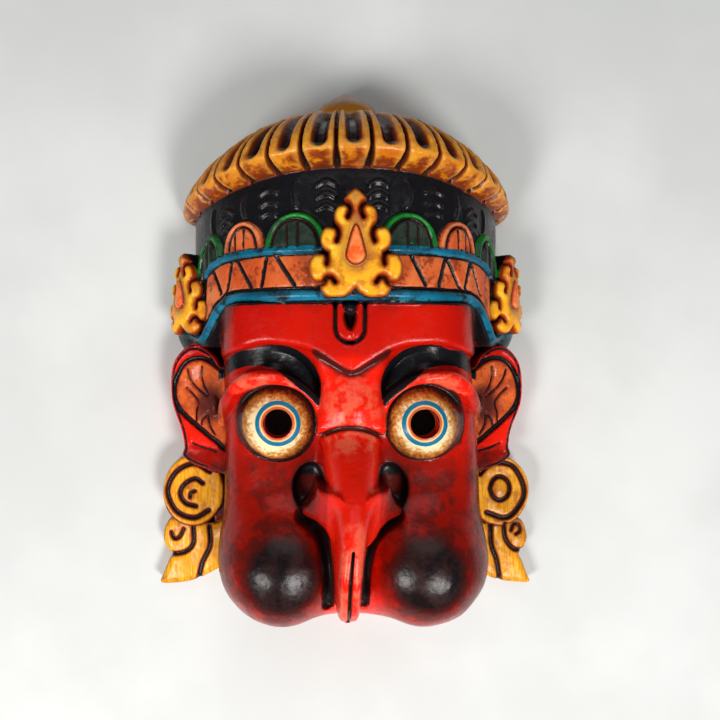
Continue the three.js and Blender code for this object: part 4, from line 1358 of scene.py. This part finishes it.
    # Ear ornaments: golden ochre over open grain, cuts stained dark brown.
    grain = n.noise(60.0, 4.0, 0.6, stretch=(14.0, 1.1, 6.0))
    ochre = n.mix(n.fit(grain, 0.35, 0.68), (0.70, 0.24, 0.006), (0.95, 0.47, 0.022))
    ochre = n.mix(n.times(n.fit(mottle, 0.50, 0.66), 0.55), ochre, (0.30, 0.07, 0.006))
    ochre = n.mix(n.times(n.fit(n.area("ornament"), 2.4, 0.4), 0.6), ochre, (0.28, 0.055, 0.006))
    ochre = n.mix(n.times(n.fit(fine, 0.66, 0.74), 0.7), ochre, (0.06, 0.02, 0.006))
    ochre = n.wash(ochre, n.area("scroll"), -1.6, 0.2, (0.36, 0.05, 0.008))
    ochre = n.wash(ochre, n.area("scroll"), -0.2, 0.7, (0.03, 0.014, 0.010))
    colour = n.mix(inside("ornament"), colour, ochre)
    colour = n.wash(colour, n.area("slit"), -0.2, 0.3, BLACK)

    # Patina and painted shade in every corner: darker where the surface is enclosed.
    patina_and_shade = n.fit(n.add(hollow_shade, n.times(mottle, 0.25)), 0.35, 1.0)
    colour = n.mix(n.times(patina_and_shade, 0.8), colour, (0.02, 0.010, 0.009))

    # Bare wood behind.
    rings = n.noise(26.0, 4.0, 0.6, stretch=(6.0, 0.7, 3.0))
    wood = n.mix(n.fit(rings, 0.36, 0.66), (0.20, 0.105, 0.045), (0.36, 0.22, 0.11))
    wood = n.mix(n.times(n.fit(cloud, 0.45, 0.7), 0.6), wood, (0.09, 0.045, 0.022))
    is_bare = n.fit(n.area("bare"), -0.4, 0.4)
    colour = n.mix(is_bare, colour, wood)

    # Varnish, thicker in some places than in others.
    gloss = n.add(n.times(mottle, 0.22), n.times(grit, 0.16))
    rough = n.add(n.fit(gloss, 0.1, 0.3, 0.17, 0.38), n.times(is_bare, 0.35))
    waves = n.add(n.times(n.noise(70.0, 2.0), 1.0), n.times(n.noise(240.0, 3.0), 0.32))
    waves = n.add(waves, n.times(n.add(fine, grit), 0.10))
    bump = n.new("ShaderNodeBump", {"Height": waves, "Strength": 0.55, "Distance": 0.0011})
    inputs = {"Base Color": colour, "Roughness": rough, "Normal": bump.outputs[0]}
    shader = n.new("ShaderNodeBsdfPrincipled", inputs)
    shader.inputs["Specular IOR Level"].default_value = 0.22
    out = n.new("ShaderNodeOutputMaterial")
    n.tree.links.new(shader.outputs[0], out.inputs[0])
    return material


def stain_and_light_map(points):
    """How much darker the red is, from age and painted shade; below 0 it is brighter, mostly a painted
    highlight.
    """
    x, y, z = points.T
    ax = np.abs(x)
    # Painted shade with age: the face's sides, lower part and temples, under the eyes, round the cheeks,
    # beside the nose and at the forehead's top and ends.
    side = ease(ax, 78, 98) * 0.42 * (ax < 100.5)
    lower = ease(-y, 66, 100) * 0.44 * ease(ax, 14, 34)
    under_eye = 0.35 * hump(np.hypot(ax - 52, y + 96), 30)
    cheek = 0.35 * hump(np.abs(np.hypot(ax - 53, y + 158) - 28), 14)
    temple = 0.5 * ease(ax, 84, 95) * ease(y, -12, 4)
    nose_side = 0.45 * hump(ax - 31, 12) * ease(-y, 60, 76) * ease(y, -130, -105)
    bridge = 0.5 * hump(np.hypot(ax * 0.9, y + 40), 40)
    root = 0.28 * (1 - ease(ax, 14, 24)) * ease(-y, 56, 62)
    lid = 0.5 * ((y > -58) & (y < -18) & (z > 84) & (ax > 30))
    forehead = 0.5 * ease(ax, 78, 92) * ease(y, 2, 26) * (ax < 100.5)
    forehead = forehead + 0.25 * ease(y, 20, 30) * (ax > 14)
    lobe = 0.35 * ((ax > 100.5) & (y < -80)) - 0.3 * ((ax > 100.5) & (y > -76))
    beak = 0.5 * hump(x - beak_middle(y), 8.5) * ease(-y, 104, 128)
    # The shaded places add, and the painted highlights on the bridge, nose root, lids and beak take away.
    face = side + lower + under_eye + cheek + temple + nose_side + forehead
    return face + lobe - (bridge + root) - lid - beak


def store(mesh, name, values):
    mesh.attributes.new(name, "FLOAT", "POINT").data.foreach_set("value", np.asarray(values, np.float32))


def build_mask():
    carve()
    mesh = surface_mesh()
    points = vertex_places(mesh)
    normals = smooth_shading(mesh, points)
    for name, values in paint_areas(points).items():
        store(mesh, name, values)
    # How enclosed each point is, from the blurred block: it darkens hollows as painted shade with patina, and
    # marks raised edges.
    filled = np.clip(0.5 - field / (2 * STEP), 0, 1)
    small = grid_at(blurred(filled, 2.0), points + 0.3 * normals)
    large = grid_at(blurred(filled, 6.0), points + 0.3 * normals)
    store(mesh, "hollow_shade", np.clip((small - 0.52) * 3.4, 0, 1) + np.clip((large - 0.56) * 2.2, 0, 1))
    store(mesh, "ridge", np.clip((0.44 - small) * 5.0, 0, 1))
    store(mesh, "stain_and_painted_light", stain_and_light_map(points))
    store(mesh, "lift", points[:, 1])
    mesh.materials.clear()
    mesh.materials.append(painted_wood())
    mask = bpy.data.objects.new("mask_carving", mesh)
    bpy.context.scene.collection.objects.link(mask)
    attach(mask, "root")
    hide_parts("mask")


# ---- camera, light and floor ----
def place_camera():
    data = bpy.data.cameras.new("camera")
    data.lens, data.sensor_width = 36.0, 36.0
    data.shift_x = 0.074
    camera = bpy.data.objects.new("camera", data)
    camera.location = Vector((-31.5, -8.5, 600.0)) * MM
    # It looks straight down, with the crown upwards in the picture.
    camera.rotation_euler = (0.0, 0.0, 0.0)
    bpy.context.scene.collection.objects.link(camera)
    bpy.context.scene.camera = camera


def add_light(name, place, size, power, colour=(1, 1, 1)):
    data = bpy.data.lights.new(name, "AREA")
    data.shape = "RECTANGLE"
    data.size, data.size_y = size
    data.energy = power
    data.color = colour
    lamp = bpy.data.objects.new(name, data)
    lamp.location = place
    lamp.rotation_euler = (Vector((0, 0, 0.05)) - Vector(place)).to_track_quat("-Z", "Y").to_euler()
    bpy.context.scene.collection.objects.link(lamp)


def set_stage():
    scene = bpy.context.scene
    scene.view_settings.view_transform = "Standard"
    world = bpy.data.worlds.new("room")
    world.use_nodes = True
    background = world.node_tree.nodes["Background"]
    background.inputs[0].default_value = (0.93, 0.97, 1.0, 1)
    background.inputs[1].default_value = 0.09
    scene.world = world
    add_light("window_left", (-0.75, -0.65, 1.1), (0.42, 0.42), 14.0, (1.0, 0.99, 0.97))
    add_light("window_right", (0.5, -0.8, 1.2), (0.42, 0.42), 17.0, (1.0, 0.99, 0.97))
    add_light("overhead", (0.1, 0.9, 1.3), (1.6, 0.8), 5.0, (0.97, 0.99, 1.0))
    size = 3.0
    mesh = bpy.data.meshes.new("floor")
    corners = [(-size, -size, 0), (size, -size, 0), (size, size, 0), (-size, size, 0)]
    mesh.from_pydata(corners, [], [(0, 1, 2, 3)])
    floor = bpy.data.objects.new("floor", mesh)
    scene.collection.objects.link(floor)
    material = bpy.data.materials.new("floor")
    n = Nodes(material)
    n.place = n.new("ShaderNodeTexCoord").outputs["Object"]
    tint = n.mix(n.fit(n.noise(5.0, 4.0), 0.35, 0.7), (0.62, 0.63, 0.62), (0.70, 0.71, 0.70))
    shader = n.new("ShaderNodeBsdfPrincipled", {"Base Color": tint, "Roughness": 0.9})
    n.tree.links.new(shader.outputs[0], n.new("ShaderNodeOutputMaterial").inputs[0])
    mesh.materials.append(material)


place_camera()
build_mask()
set_stage()
